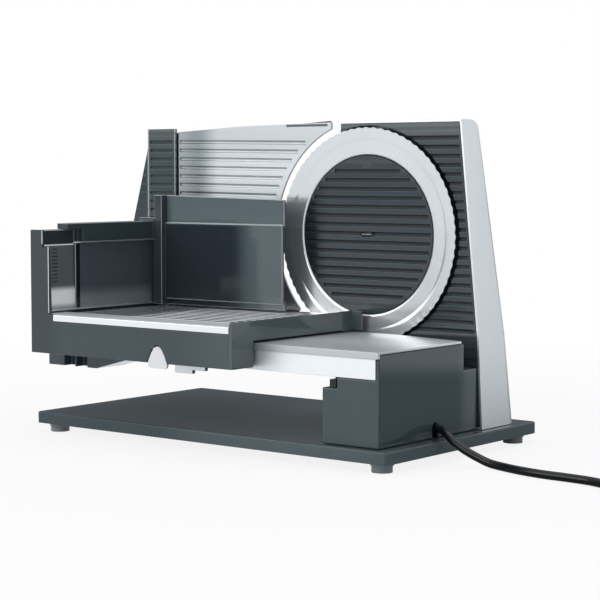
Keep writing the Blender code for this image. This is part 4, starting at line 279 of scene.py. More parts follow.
def ground_steel(name, colour, roughness, centre):
    """Blade steel: rings from the grinding about the axle, and wide streaks that turn with the blade."""
    made, tree, shader = shader_tree(name)
    parts = parts_of(tree, object_place(tree, EVEN, centre))
    flat = vector_of(tree, parts[0], 0.0, parts[2])
    radius = reckon_vector(tree, "LENGTH", flat)
    aim = reckon_vector(tree, "NORMALIZE", flat)
    rings = noise(tree, vector_of(tree, radius), RING_SCALE, *RING_NOISE)
    streaks = noise(tree, aim, STREAK_SCALE, SOFT_DETAIL)
    both = reckon(tree, "MULTIPLY_ADD", rings, RING_SHARE,
                  ranged(tree, streaks, 0.0, 1.0, 0.0, 1 - RING_SHARE))
    dark, light = (shade_of(colour, share) for share in BLADE_TONES)
    gloss = wandering(tree, rings, roughness, BLADE_GLOSS)
    finish_with(tree, shader, tones(tree, both, dark, light), gloss, rings, RING_BUMP, RING_HEIGHT)
    shader.inputs["Metallic"].default_value = BLADE_METALLIC
    return made


BLADE_X = 61.6
BLADE_HEIGHT = 146.7
BLADE_PLANE = 30.0
BLADE_CENTRE = at(BLADE_X, BLADE_PLANE, BLADE_HEIGHT)
# The faces that grooves sink from
STOP_FACE = 30.0
COVER_FACE = 31.8
PANEL_FACE = 33.0

ANTHRACITE = (0.038, 0.055, 0.064)
# The colour of painted highlights along edges
EDGE_GLEAM = (0.34, 0.38, 0.40)

MOULDING = plastic("anthracite_moulding", ANTHRACITE, 0.07)
# Painted light: darker towards the left end, lighter towards the right, and a painted highlight on the right
# end
CARRIAGE = plastic("anthracite_carriage", ANTHRACITE, 0.06, tints=[
    ("X", -120, -145, (0.027, 0.041, 0.048)), ("X", -10, 45, (0.058, 0.078, 0.085)),
    ("X", 49, 51.5, (0.085, 0.110, 0.118))])
# Painted light: the housing gets lighter from Y 4 back to Y 24
HOUSING = plastic("anthracite_housing", (0.047, 0.068, 0.078), 0.06, tints=[
    ("Y", 4, 24, (0.105, 0.132, 0.140))])
# Painted shade in the grooves, and a painted highlight towards the top, from Z 222 to 229
PANEL_MOULDING = plastic("grooved_panel", ANTHRACITE, 0.14, grooves=(PANEL_FACE, 223.0, 7.05, 0.95), tints=[
    ("Z", 222, 229, (0.080, 0.105, 0.113))])
# Painted shade in the grooves, and a painted dark reflection on the left side, from X 26 to 4
COVER_MOULDING = plastic("grooved_cover", ANTHRACITE, 0.14, grooves=(COVER_FACE, 147.9, 7.06, 0.95), tints=[
    ("X", 26, 4, (0.014, 0.021, 0.026))])
# Painted shade in the grooves, and painted highlights down both side edges of the front face
STRIP_MOULDING = plastic(
    "grooved_strip", (0.052, 0.073, 0.081), 0.12, grooves=(STOP_FACE, 222.2, 7.28, 0.7), tints=[
        ("X", -171.9, -172.7, EDGE_GLEAM), ("X", -173.6, -174.4, ANTHRACITE),
        ("X", -142.9, -142.2, EDGE_GLEAM), ("X", -141.35, -141.2, ANTHRACITE),
        ("Y", 31.0, 32.4, ANTHRACITE)])
# Painted reflection: the board lighter right of X -55 to 15, a little darker again past X 145 to 176
BOARD = plastic("gloss_board", (0.052, 0.074, 0.084), 0.20, specular=0.22, tints=[
    ("X", -55, 15, (0.085, 0.112, 0.122)), ("X", 145, 176, (0.072, 0.094, 0.102))])
CAP = plastic("dark_cap", (0.023, 0.033, 0.037), 0.07)
JET = plastic("black_moulding", (0.009, 0.012, 0.015), 0.20, depth=0.010, specular=0.4)
CORD_SHEATH = plastic("cord_sheath", (0.005, 0.006, 0.007), 0.24, grain=900.0, depth=0.02, specular=0.35)
FOOT_RUBBER = plastic("foot_rubber", (0.19, 0.21, 0.225), 0.20, grain=1100.0, depth=0.03)
NYLON = plastic("nylon_gear", (0.72, 0.70, 0.62), 0.42, depth=0.03)
SMOKE = plastic("smoke_panel", (0.045, 0.058, 0.070), 0.07, tone=0.12, alpha=0.97)
# Painted light: lighter towards the right, from X -60 to -36, and a painted sheen on the band above Z 151 to
# 154
SMOKE_FACE = plastic("smoke_pusher", (0.022, 0.030, 0.039), 0.08, tone=0.10, alpha=0.98, tints=[
    ("X", -60, -36, (0.098, 0.128, 0.141)), ("Z", 151, 154, (0.112, 0.147, 0.160))])
# Painted reflection: lighter below Z 104 to 90; in front of Y -76.6 to -77.4 the colour turns near-black
SMOKE_SIDE = plastic("smoke_side", (0.072, 0.091, 0.110), 0.07, tone=0.10, alpha=0.97, tints=[
    ("Z", 104, 90, (0.22, 0.26, 0.27)), ("Y", -76.6, -77.4, (0.006, 0.008, 0.010))])
# A painted highlight for the panes' rounded edges and for the lock's slit
PANE_HIGHLIGHT = plastic("pane_edge_highlight", (0.40, 0.44, 0.46), 0.08, specular=0.6)
# Painted reflection: white below Z 105 to 99, grey again below Z 91 to 86
CLEAR = plastic("clear_window", (0.030, 0.055, 0.058), 0.05, alpha=0.80, tints=[
    ("Z", 105, 99, (1.0, 1.0, 1.0)), ("Z", 91, 86, (0.30, 0.34, 0.35))])
MARKS = plastic("scale_marks", (0.010, 0.012, 0.014), 0.50, depth=0.02)
MOULDED_MARKS = plastic("moulded_marks", (0.105, 0.128, 0.138), 0.30, depth=0.02)
PRINT = plastic("pale_print", (0.62, 0.65, 0.66), 0.45, depth=0.02)
# Painted light: the top darker than the front skirt above Z 63 to 65, and lighter again from Y -88 to -30
# back
RAIL_METAL = brushed("rail_sheet_metal", (0.86, 0.88, 0.90), 0.42, RAIL_LINES, 900.0, 0.8, 0.05, 0.02, tints=[
    ("Z", 63, 65, (0.52, 0.545, 0.565)), ("Y", -88, -30, (0.78, 0.80, 0.82))])
# Painted highlights along the lower and upper edges
RAIL_TOP = plastic("wall_rail_moulding", ANTHRACITE, 0.06, tints=[
    ("Z", 139.9, 139.5, EDGE_GLEAM), ("Z", 154.2, 154.5, EDGE_GLEAM)])
SATIN = brushed("satin_aluminium", (0.80, 0.82, 0.84), 0.34, RAIL_LINES, 900.0, 0.85, 0.05, 0.02)
LACQUER = brushed("silver_lacquer", (0.70, 0.73, 0.75), 0.36, EVEN, 2200.0, 0.75, 0.02, 0.02)
# Painted reflection: darker towards the top, from Z 196 to 224, and towards the left from X -90, a little
# lighter again left of X -118
PLATE_LACQUER = brushed("stop_lacquer", (0.57, 0.60, 0.62), 0.34, EVEN, 2200.0, 0.75, 0.02, 0.02, tints=[
    ("Z", 196, 224, (0.455, 0.48, 0.495)), ("X", -90, -116, (0.225, 0.25, 0.265)),
    ("X", -118, -136, (0.29, 0.32, 0.335))])
# Painted highlight along the front edge; behind Y -92 to -88 the sheet is darkened, a painted dark reflection
TRAY_METAL = brushed("tray_sheet", (0.74, 0.77, 0.79), 0.05, TRAY_LINES, 1100.0, 1.0, 0.02, 0.03, tints=[
    ("Y", -90, -92, (0.94, 0.95, 0.96)), ("Y", -92, -88, (0.34, 0.36, 0.375))])
# Painted highlight: the ridges, pressed from the tray's sheet, are coloured far lighter than it
RIDGE_METAL = brushed("tray_ridge_highlight", (0.97, 0.98, 1.0), 0.14, TRAY_LINES, 1100.0, 0.9, 0.02, 0.02)
TRAY_BAND = brushed("tray_front_sheet", (0.62, 0.65, 0.67), 0.45, TRAY_LINES, 1100.0, 0.7, 0.02, 0.03)
LEVER_FINISH = plastic("light_lever", (0.76, 0.77, 0.79), 0.32, depth=0.02)
SHAFT_STEEL = brushed("shaft_steel", (0.66, 0.68, 0.70), 0.20, EVEN, 1500.0)
BRASS = brushed("turned_brass", (0.72, 0.55, 0.27), 0.28, EVEN, 900.0)
MAGNET = plastic("ferrite_magnet", (0.06, 0.06, 0.065), 0.6, grain=800.0, depth=0.1)
BLADE_STEEL = ground_steel("ground_blade_steel", (0.76, 0.78, 0.80), 0.20, BLADE_CENTRE)

SLOT_FINISH = {"gloss_plate": BOARD, "rubber": FOOT_RUBBER, "anthracite": MOULDING, "aluminium": SATIN,
               "steel": SHAFT_STEEL, "brass": BRASS, "gear_plastic": NYLON, "magnet": MAGNET, "smoke": SMOKE,
               "clear": CLEAR, "black": JET, "cord": CORD_SHEATH}

nodes = frame["nodes"]
node_slot = {part["node"]: part["material_slot"] for part in frame["record"]["subparts"]}
bodies = frame["record"]["behaviour"]["bodies"]
node_body = {name: body for body, members in bodies.items() for name in members}
for name, node in nodes.items():
    node.data.materials.clear()
    node.data.materials.append(SLOT_FINISH[node_slot[name]])


# Making of pieces

WELD = 2e-6
POINT_WELD = 1e-7
FLAT_ANGLE = math.radians(0.5)


def linked(name, data):
    made = bpy.data.objects.new(name, data)
    bpy.context.scene.collection.objects.link(made)
    return made


def put(name, mesh, finish, body, replaced=()):
    """A finished piece: its object, its material, the body that it rides on and what it stands for."""
    mesh.name = name
    if finish:
        mesh.materials.clear()
        mesh.materials.append(finish)
    made = linked(name, mesh)
    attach(made, body)
    if replaced:
        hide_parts(*replaced)
    return made


def baked(carrier):
    """The carrier's mesh with its modifiers worked into it. The carrier goes."""
    depsgraph = bpy.context.evaluated_depsgraph_get()
    result = bpy.data.meshes.new_from_object(carrier.evaluated_get(depsgraph))
    bpy.data.objects.remove(carrier)
    return result


def smooth(mesh, angle=40.0):
    mesh.polygons.foreach_set("use_smooth", [True] * len(mesh.polygons))
    mesh.set_sharp_from_angle(angle=math.radians(angle))
    return mesh


def softened(node, name, width, finish, segments=2, edge_finish=None, angle=35):
    """A node's own solid with its corners rounded, in place of the node."""
    bm = bmesh.new()
    bm.from_mesh(nodes[node].data)
    bmesh.ops.remove_doubles(bm, verts=bm.verts, dist=WELD)
    bmesh.ops.dissolve_limit(bm, angle_limit=FLAT_ANGLE, verts=bm.verts, edges=bm.edges)
    for face in bm.faces:
        face.smooth = True
    mesh = bpy.data.meshes.new(name)
    bm.to_mesh(mesh)
    bm.free()
    mesh.materials.append(finish)
    if edge_finish:
        mesh.materials.append(edge_finish)
    rounding = {"width": width * MM, "segments": segments, "limit_method": "ANGLE",
                "angle_limit": math.radians(angle), "use_clamp_overlap": False, "miter_outer": "MITER_SHARP",
                "material": 1 if edge_finish else -1}
    carrier = linked("carrier", mesh)
    for kind, settings in (("BEVEL", rounding), ("WEIGHTED_NORMAL", {"keep_sharp": True})):
        modifier = carrier.modifiers.new(kind.lower(), kind)
        for key, value in settings.items():
            setattr(modifier, key, value)
    return put(name, baked(carrier), None, node_body[node], [node])


def geometry_tree(name, sockets, takes_mesh=False):
    tree = bpy.data.node_groups.new(name, "GeometryNodeTree")
    if takes_mesh:
        tree.interface.new_socket("Geometry", in_out="INPUT", socket_type="NodeSocketGeometry")
    for label, kind, value in sockets:
        socket = tree.interface.new_socket(label, in_out="INPUT", socket_type="NodeSocket" + kind)
        socket.default_value = value
    tree.interface.new_socket("Geometry", in_out="OUTPUT", socket_type="NodeSocketGeometry")
    return tree, tree.nodes.new("NodeGroupInput").outputs


def moved_to(tree, geometry, place):
    return add(tree, "GeometryNodeTransform", Geometry=geometry, Translation=place).outputs[0]


def closed_tree(tree, geometry, finish):
    """End a tree in real geometry with its material."""
    real = add(tree, "GeometryNodeRealizeInstances", i0=geometry).outputs[0]
    painted = add(tree, "GeometryNodeSetMaterial", i0=real, Material=finish).outputs[0]
    out = tree.nodes.new("NodeGroupOutput")
    tree.links.new(painted, out.inputs[0])


def grown(tree, values, mesh=None):
    """The plain mesh that a tree makes, its inputs set by their identifiers."""
    carrier = linked("carrier", mesh or bpy.data.meshes.new("carrier"))
    modifier = carrier.modifiers.new("shape", "NODES")
    modifier.node_group = tree
    for item in tree.interface.items_tree:
        if item.item_type == "SOCKET" and item.in_out == "INPUT" and item.name in values:
            modifier[item.identifier] = values[item.name]
    return baked(carrier)


def mesh_of(name, points, faces):
    mesh = bpy.data.meshes.new(name)
    mesh.from_pydata([tuple(p) for p in points], [], faces)
    bm = bmesh.new()
    bm.from_mesh(mesh)
    bmesh.ops.remove_doubles(bm, verts=bm.verts, dist=POINT_WELD)
    bmesh.ops.recalc_face_normals(bm, faces=bm.faces)
    bm.to_mesh(mesh)
    bm.free()
    return mesh


def ringed(name, rings):
    """A closed skin over rings of as many points each, the last ring joined to the first."""
    count = len(rings[0])
    faces = []
    for row in range(len(rings)):
        after = (row + 1) % len(rings)
        for i in range(count):
            j = (i + 1) % count
            faces.append((row * count + i, row * count + j, after * count + j, after * count + i))
    return mesh_of(name, [point for ring in rings for point in ring], faces)


def box(name, low, high, finish, body, slot):
    bm = bmesh.new()
    bmesh.ops.create_cube(bm, size=1.0)
    for vert in bm.verts:
        vert.co = Vector([a if c < 0 else b for a, b, c in zip(at(*low), at(*high), vert.co)])
    mesh = bpy.data.meshes.new(name)
    bm.to_mesh(mesh)
    bm.free()
    return put(name, mesh, finish, body)


# Mains lead: the lead on the table, the coil put away beside the slicer, the end with the plug

CORD_THICKNESS = 6.2
CORD_STEP = 4.0
# The height of the cord's middle where it lies on the table
CORD_LEVEL = -13.25
LEAD_ROUTE = (
    (162.4, -23.0, 8.0), (166.5, -23.1, 8.0), (171.5, -25.6, 7.6), (176.9, -28.6, 6.2), (183.9, -30.4, 1.8),
    (190.9, -30.6, -2.5), (199.5, -30.6, -6.4), (208.1, -30.6, -9.6), (217.5, -31.2, -12.2),
    (231.1, -33.3, CORD_LEVEL), (247.3, -38.6, CORD_LEVEL), (267.0, -42.4, CORD_LEVEL),
    (287.0, -43.4, CORD_LEVEL), (308.0, -46.0, CORD_LEVEL), (330.0, -54.0, CORD_LEVEL),
    (350.0, -59.2, CORD_LEVEL), (362.0, -60.0, CORD_LEVEL), (368.5, -60.0, CORD_LEVEL),
)
TAIL_ROUTE = (
    (381.5, -60.0, -6.5), (388.0, -60.0, -6.5), (399.0, -60.6, -8.4), (412.0, -63.4, -12.0),
    (424.0, -68.5, CORD_LEVEL), (434.0, -73.5, -12.6), (443.0, -77.2, -10.2), (450.0, -78.6, -9.55),
    (456.5, -78.6, -9.55),
)
COIL_START = (375.0, -60.0)
COIL_SPACING = 6.75
COIL_TURNS_PER_LAYER = 2.5
COIL_MIDDLE_RADIUS = 34.0
COIL_OUTER_RADIUS = COIL_MIDDLE_RADIUS + COIL_SPACING * COIL_TURNS_PER_LAYER / 2
COIL_LOOP_POINTS = 24
TIE_WIDTH = 7.0
TIE_INSIDE = 0.1
TIE_THICKNESS = 0.6
TIE_CORNER_STEPS = 6


def smooth_route(route):
    """A smooth path through the route's points, in steps of about CORD_STEP."""
    places = [Vector(point) for point in route]
    path = []
    for i in range(len(places) - 1):
        before = places[max(i - 1, 0)]
        after = places[min(i + 2, len(places) - 1)]
        start = places[i]
        end = places[i + 1]
        steps = max(1, round((end - start).length / CORD_STEP))
        for step in range(steps):
            share = step / steps
            path.append(0.5 * (2 * start + (end - before) * share
                               + (2 * before - 5 * start + 4 * end - after) * share ** 2
                               + (3 * start - before - 3 * end + after) * share ** 3))
    return path + [places[-1]]


def coil_route():
    """Two layers of loops: the lower spirals in, the upper out, with the climb where the spiral turns."""
    turns = 2 * COIL_TURNS_PER_LAYER
    steps = round(turns * COIL_LOOP_POINTS)
    path = []
    for step in range(steps + 1):
        turn = turns * step / steps
        radius = COIL_OUTER_RADIUS - COIL_SPACING * min(turn, turns - turn)
        share = min(max((turn - COIL_TURNS_PER_LAYER) * 2 + 1 / 2, 0), 1)
        climb = COIL_SPACING * share ** 2 * (3 - 2 * share)
        angle = 2 * math.pi * turn - math.pi / 2
        path.append(Vector((COIL_START[0] + radius * math.cos(angle),
                            COIL_START[1] + COIL_OUTER_RADIUS + radius * math.sin(angle),
                            CORD_LEVEL + climb)))
    return path


def wrapped(corners, radius):
    """The outline of a band held tight round wires whose middles are the corners, taken anticlockwise."""
    outline = []
    for i, corner in enumerate(corners):
        into = corner - corners[i - 1]
        away = corners[(i + 1) % len(corners)] - corner
        start = math.atan2(-into.x, into.y)
        turn = (math.atan2(-away.x, away.y) - start) % (2 * math.pi)
        for step in range(TIE_CORNER_STEPS + 1):
            angle = start + turn * step / TIE_CORNER_STEPS
            outline.append((corner.x + radius * math.cos(angle),
                            max(corner.y + radius * math.sin(angle), CORD_LEVEL - CORD_THICKNESS / 2)))
    return outline


def coil_tie():
    """A soft band round the coil's turns, where they lie furthest to the right."""
    upper = CORD_LEVEL + COIL_SPACING
    # The outermost and innermost turn of each layer there, in spacings from the coil's rim
    turns = [(0.75, upper), (COIL_TURNS_PER_LAYER - 0.75, upper), (COIL_TURNS_PER_LAYER - 0.25, CORD_LEVEL),
             (0.25, CORD_LEVEL)]
    corners = [Vector((COIL_OUTER_RADIUS - COIL_SPACING * turn, height)) for turn, height in turns]
    inside = wrapped(corners, CORD_THICKNESS / 2 + TIE_INSIDE)
    outside = wrapped(corners, CORD_THICKNESS / 2 + TIE_INSIDE + TIE_THICKNESS)
    middle = COIL_START[1] + COIL_OUTER_RADIUS
    rings = [[at(COIL_START[0] + across, middle + end * TIE_WIDTH / 2, height) for across, height in outline]
             for outline, end in ((inside, -1), (outside, -1), (outside, 1), (inside, 1))]
    return put("coil_tie", smooth(ringed("coil_tie", rings)), JET, "machine")


def mains_lead():
    path = [at(*point) for point in smooth_route(LEAD_ROUTE) + coil_route() + smooth_route(TAIL_ROUTE)]
    curve = bpy.data.curves.new("mains_lead", "CURVE")
    curve.dimensions = "3D"
    curve.bevel_depth = CORD_THICKNESS / 2 * MM
    curve.bevel_resolution = 4
    curve.use_fill_caps = True
    spline = curve.splines.new("POLY")
    spline.points.add(len(path) - 1)
    for point, place in zip(spline.points, path):
        point.co = (*place, 1.0)
    spline.use_smooth = True
    curve.materials.append(CORD_SHEATH)
    lead = linked("mains_lead", curve)
    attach(lead, "machine")
    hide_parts("cord_lead", "cord_coil", "cord_tail")
    plug = softened("plug_body", "plug_moulding", 1.2, JET, 3)
    coil_tie()


mains_lead()


# Blade: dished ring with a ground bevel and a serrated edge

BLADE_RADIUS = 85.0
BLADE_WAVES = 72
POINTS_PER_WAVE = 12
SERRATION_START = 82.8
SERRATION_DEPTH = 0.75
# Radius and place along the axle: the dish's face, its wall, the front ring, the bevel, the edge, and back
BLADE_PROFILE = (
    (13.0, 38.0), (61.4, 38.0), (62.5, 37.5), (63.1, 36.4), (63.2, 36.0), (63.2, 32.3), (63.35, 31.8),
    (63.7, 31.4), (64.3, 31.12), (65.2, 31.0), (74.6, 31.0), (75.0, 30.95), (75.5, 30.75), (78.0, 30.58),
    (82.0, 30.25), (BLADE_RADIUS, BLADE_PLANE), (BLADE_RADIUS, BLADE_PLANE + 0.25), (82.0, 30.95),
    (78.0, 31.9), (75.0, 32.5), (65.4, 32.5), (64.8, 32.8), (64.7, 33.4), (64.7, 37.5), (63.7, 39.2),
    (61.4, 39.5), (13.0, 39.5),
)


def serration_tree():
    tree, given = geometry_tree("serrated_edge", [
        ("Waves", "Float", 148.0), ("Depth", "Float", 0.0008), ("From", "Float", 0.078),
        ("Rim", "Float", 0.085), ("Centre", "Vector", (0, 0, 0))], True)
    place = add(tree, "GeometryNodeInputPosition").outputs[0]
    arm = reckon_vector(tree, "SUBTRACT", place, given["Centre"])
    arm = reckon_vector(tree, "MULTIPLY", arm, (1, 0, 1))
    parts = parts_of(tree, arm)
    turn = reckon(tree, "ARCTAN2", parts[2], parts[0])
    wave = reckon(tree, "COSINE", reckon(tree, "MULTIPLY", turn, given["Waves"]))
    hollow = ranged(tree, wave, -1.0, 1.0, 1.0, 0.0)
    near = ranged(tree, reckon_vector(tree, "LENGTH", arm), given["From"], given["Rim"])
    depth = reckon(tree, "MULTIPLY", reckon(tree, "MULTIPLY", hollow, near), given["Depth"])
    back = reckon(tree, "MULTIPLY", depth, -1.0)
    shift = reckon_vector(tree, "SCALE", reckon_vector(tree, "NORMALIZE", arm), Scale=back)
    moved = add(tree, "GeometryNodeSetPosition", Geometry=given["Geometry"], Offset=shift).outputs[0]
    closed_tree(tree, moved, BLADE_STEEL)
    return tree


def blade():
    steps = BLADE_WAVES * POINTS_PER_WAVE
    angles = [2 * math.pi * i / steps for i in range(steps)]
    rings = [[at(BLADE_X + radius * math.cos(angle), depth, BLADE_HEIGHT + radius * math.sin(angle))
              for angle in angles] for radius, depth in BLADE_PROFILE]
    mesh = grown(serration_tree(), {"Waves": float(BLADE_WAVES), "Depth": SERRATION_DEPTH * MM,
                                    "From": SERRATION_START * MM, "Rim": BLADE_RADIUS * MM,
                                    "Centre": tuple(BLADE_CENTRE)}, ringed("blade", rings))
    put("serrated_blade", smooth(mesh, 30), None, "blade", ["blade"])


blade()


# Pieces whose own solid only has its corners rounded: node, piece, width, finish and segments

SOFTENED = [
    ("base_plate", "board", 0.5, BOARD, 2),
    ("column_housing", "column_moulding", 1.1, HOUSING, 3),
    ("column_catch", "catch_tongue", 0.4, JET, 2),
    ("rail", "rail_sheet", 0.25, RAIL_METAL, 2),
    ("rail_beam", "rail_girder", 0.8, MOULDING, 2),
    ("rail_end_block", "rail_end_moulding", 0.7, MOULDING, 2),
    ("rail_bracket", "rail_lug", 0.5, SATIN, 2),
    ("tower_panel", "tower_front_moulding", 0.25, PANEL_MOULDING, 2),
    ("blade_cover", "ribbed_cover", 0.2, COVER_MOULDING, 2),
    ("cover_lock", "cover_lock_key", 0.3, JET, 2),
    ("stop_plate", "stop_plate_casting", 0.3, PLATE_LACQUER, 2),
    ("stop_carrier", "stop_backing", 0.4, JET, 2),
    ("stop_frame", "stop_end_moulding", 0.25, STRIP_MOULDING, 2),
    ("carriage_frame", "carriage_moulding", 0.4, CARRIAGE, 3),
    ("tray", "tray_pressing", 0.4, TRAY_METAL, 2),
    ("carriage_lever", "release_lever", 0.25, LEVER_FINISH, 3),
    ("wall_top_rail", "wall_rail_moulding", 0.7, RAIL_TOP, 3),
    ("thickness_knob", "setting_knob", 0.35, JET, 2),
    ("switch_button", "push_button", 0.6, JET, 3),
    ("runner_left", "left_shoe", 0.3, JET, 2),
    ("runner_right", "right_shoe", 0.3, JET, 2),
]
# Panes: their rounded edges take the painted highlight
PANES = [
    ("scale_window", "scale_pane", 0.55, CLEAR),
    ("side_wall", "side_pane", 0.5, SMOKE_SIDE),
    ("pusher_column", "pusher_guide_moulding", 0.35, SMOKE),
    ("pusher_panel", "pusher_pane", 0.5, SMOKE_FACE),
    ("window_cap", "window_cap_moulding", 0.6, CAP),
]
# On the shell only corners sharper than this are rounded: on smaller ones the rounding leaves spikes
SHELL_ANGLE = 62
for node, name, width, finish, segments in SOFTENED:
    softened(node, name, width, finish, segments)
softened("tower_shell", "tower_casting", 0.25, LACQUER, 3, angle=SHELL_ANGLE)
for node, name, width, finish in PANES:
    softened(node, name, width, finish, 2, PANE_HIGHLIGHT)


# Tray: pressed ridges along the travel

RIDGE_COUNT = 11
RIDGE_PITCH = 10.4
RIDGE_LENGTH = 178
RIDGE_RADIUS = 1.6
RIDGE_FLATNESS = 0.24
TRAY_TOP = 82.8
RIDGE_CORNER = at(-138, -91, TRAY_TOP)
RIDGE_POINTS = 40
RIDGE_SIDES = 14
RIDGE_END_POWER = 30.0
RIDGE_END_SHARE = 0.02


def ridge_tree():
    """Flat rods side by side, each drawn in at its ends."""
    tree, given = geometry_tree("tray_ridges", [
        ("Count", "Int", 11), ("Pitch", "Vector", (0, 0.0104, 0)), ("Start", "Vector", (0, 0, 0)),
        ("End", "Vector", (1, 0, 0)), ("Radius", "Float", 0.003), ("Flatness", "Vector", (1, 1, 0.4)),
        ("Place", "Vector", (0, 0, 0))])
    rows = add(tree, "GeometryNodeMeshLine", Count=given["Count"], Offset=given["Pitch"]).outputs[0]
    line = add(tree, "GeometryNodeCurvePrimitiveLine", Start=given["Start"], End=given["End"]).outputs[0]
    many = add(tree, "GeometryNodeResampleCurve", Curve=line, Count=RIDGE_POINTS).outputs[0]
    reached = add(tree, "GeometryNodeSplineParameter").outputs["Factor"]
    from_middle = reckon(tree, "ABSOLUTE", reckon(tree, "MULTIPLY_ADD", reached, 2.0, -1.0))
    taper = reckon(tree, "SUBTRACT", 1.0, reckon(tree, "POWER", from_middle, RIDGE_END_POWER))
    shrink = reckon(tree, "MAXIMUM", taper, RIDGE_END_SHARE)
    section = add(tree, "GeometryNodeCurvePrimitiveCircle", Resolution=RIDGE_SIDES, Radius=given["Radius"])
    rod = add(tree, "GeometryNodeCurveToMesh", Curve=many, Profile_Curve=section.outputs[0], Scale=shrink,
              Fill_Caps=True)
    flat = add(tree, "GeometryNodeTransform", Geometry=rod.outputs[0], Scale=given["Flatness"]).outputs[0]
    rods = add(tree, "GeometryNodeInstanceOnPoints", Points=rows, Instance=flat).outputs[0]
    closed_tree(tree, moved_to(tree, rods, given["Place"]), RIDGE_METAL)
    return tree


RIDGES = grown(ridge_tree(), {
    "Count": RIDGE_COUNT, "Pitch": mm(0, RIDGE_PITCH, 0), "Start": (0, 0, 0), "End": mm(RIDGE_LENGTH, 0, 0),
    "Radius": RIDGE_RADIUS * MM, "Flatness": (1, 1, RIDGE_FLATNESS), "Place": tuple(RIDGE_CORNER)})
put("tray_ridges", smooth(RIDGES), None, "carriage")


# Scale behind the clear window, the moulded marks on the blade's cover, and a painted highlight in the lock's
# slit

def mark_tree(finish):
    tree, given = geometry_tree("scale_marks", [
        ("Count", "Int", 9), ("Step", "Vector", (0, 0, 0.003)), ("Size", "Vector", (1, 1, 1)),
        ("Place", "Vector", (0, 0, 0))])
    rows = add(tree, "GeometryNodeMeshLine", Count=given["Count"], Offset=given["Step"]).outputs[0]
    bar = add(tree, "GeometryNodeMeshCube", Size=given["Size"]).outputs[0]
    bars = add(tree, "GeometryNodeInstanceOnPoints", Points=rows, Instance=bar).outputs[0]
    closed_tree(tree, moved_to(tree, bars, given["Place"]), finish)
    return tree


def marks(name, tree, count, step, size, place, body):
    """Bars in a row, in millimetres."""
    mesh = grown(tree, {"Count": count, "Step": mm(*step), "Size": mm(*size), "Place": tuple(at(*place))})
    put(name, mesh, None, body)


COVER_MARK_FACE = COVER_FACE - 0.02
SCALE = mark_tree(MARKS)
SLIT_HIGHLIGHT = mark_tree(PANE_HIGHLIGHT)
COVER_MARKS = mark_tree(MOULDED_MARKS)
marks("window_scale", SCALE, 10, (0, 0, 2.9), (0.25, 6.0, 0.9), (-149.9, -105.4, 108.0), "carriage")
for name, height in (("cover_ticks_high", 201.6), ("cover_ticks_low", 90.4)):
    marks(name, COVER_MARKS, 5, (1.7, 0, 0), (0.3, 0.1, 3.6), (58.0, COVER_MARK_FACE, height),
          "blade")
# A light bar in the lock's slit: a painted highlight
marks("lock_slit_highlight", SLIT_HIGHLIGHT, 1, (0, 0, 0), (9.0, 0.1, 0.45), (61.0, COVER_MARK_FACE, 147.1),
      "lock")


# Painted highlights as bright edge lines, and narrow strips (painted shade as thin dark sheets at the stop,
# and the tray's front band): name, low corner, high corner, finish, body and slot

STRIPS = [
    ("window_frame_gleam", (-140.1, -122.45, 84.2), (-139.4, -122.0, 137.0), SATIN, "carriage", "aluminium"),
    ("cap_frame_gleam", (-147.0, -122.45, 139.0), (-146.4, -122.0, 149.6), SATIN, "carriage", "aluminium"),
    ("side_foot_gleam", (-149.9, -119.0, 84.3), (-149.2, 26.0, 85.3), SATIN, "carriage", "aluminium"),
    ("tray_front_band", (-148.5, -119.5, 82.7), (47.6, -94.5, 82.95), TRAY_BAND, "carriage", "aluminium"),
    # A thin dark sheet along the stop plate's top edge: painted shade
    ("stop_top_painted_shade", (-19.0, 29.96, 232.9), (23.4, 30.1, 234.8), MOULDING, "stop", "aluminium"),
    # A thin black sheet behind the gap at the stop's left: painted shade
    ("stop_gap_painted_shade", (-145.0, 33.2, 196.0), (-136.0, 34.0, 229.4), JET, "stop", "black"),
]
for strip in STRIPS:
    box(*strip)


# Setting knob and button: grip ribs, a ring of ticks, their marks

def ring_tree(finish):
    """Bars around a circle that faces away along Y, each turned to point outwards."""
    tree, given = geometry_tree("ring_of_bars", [
        ("Count", "Int", 11), ("Step", "Float", 0.5), ("Radius", "Float", 1.0), ("Size", "Vector", (1, 1, 1)),
        ("Place", "Vector", (0, 0, 0))])
    line = add(tree, "GeometryNodeMeshLine", Count=given["Count"], Offset=(0, 0, 0)).outputs[0]
    index = add(tree, "GeometryNodeInputIndex").outputs[0]
    turn = reckon(tree, "MULTIPLY", index, given["Step"])
    aim = vector_of(tree, reckon(tree, "COSINE", turn), 0.0, reckon(tree, "SINE", turn))
    arm = reckon_vector(tree, "SCALE", aim, Scale=given["Radius"])
    spots = add(tree, "GeometryNodeSetPosition", Geometry=line, Offset=arm).outputs[0]
    tilt = vector_of(tree, 0.0, reckon(tree, "MULTIPLY", turn, -1.0), 0.0)
    bar = add(tree, "GeometryNodeMeshCube", Size=given["Size"]).outputs[0]
    bars = add(tree, "GeometryNodeInstanceOnPoints", Points=spots, Instance=bar, Rotation=tilt).outputs[0]
    closed_tree(tree, moved_to(tree, bars, given["Place"]), finish)
    return tree


def ring_marks(name, tree, count, degrees, radius, size, place, node):
    """Bars in a ring, in millimetres, that ride with a node."""
    mesh = grown(tree, {"Count": count, "Step": math.radians(degrees), "Radius": radius * MM,
                        "Size": mm(*size), "Place": tuple(at(*place))})
    put(name, mesh, None, node_body[node])


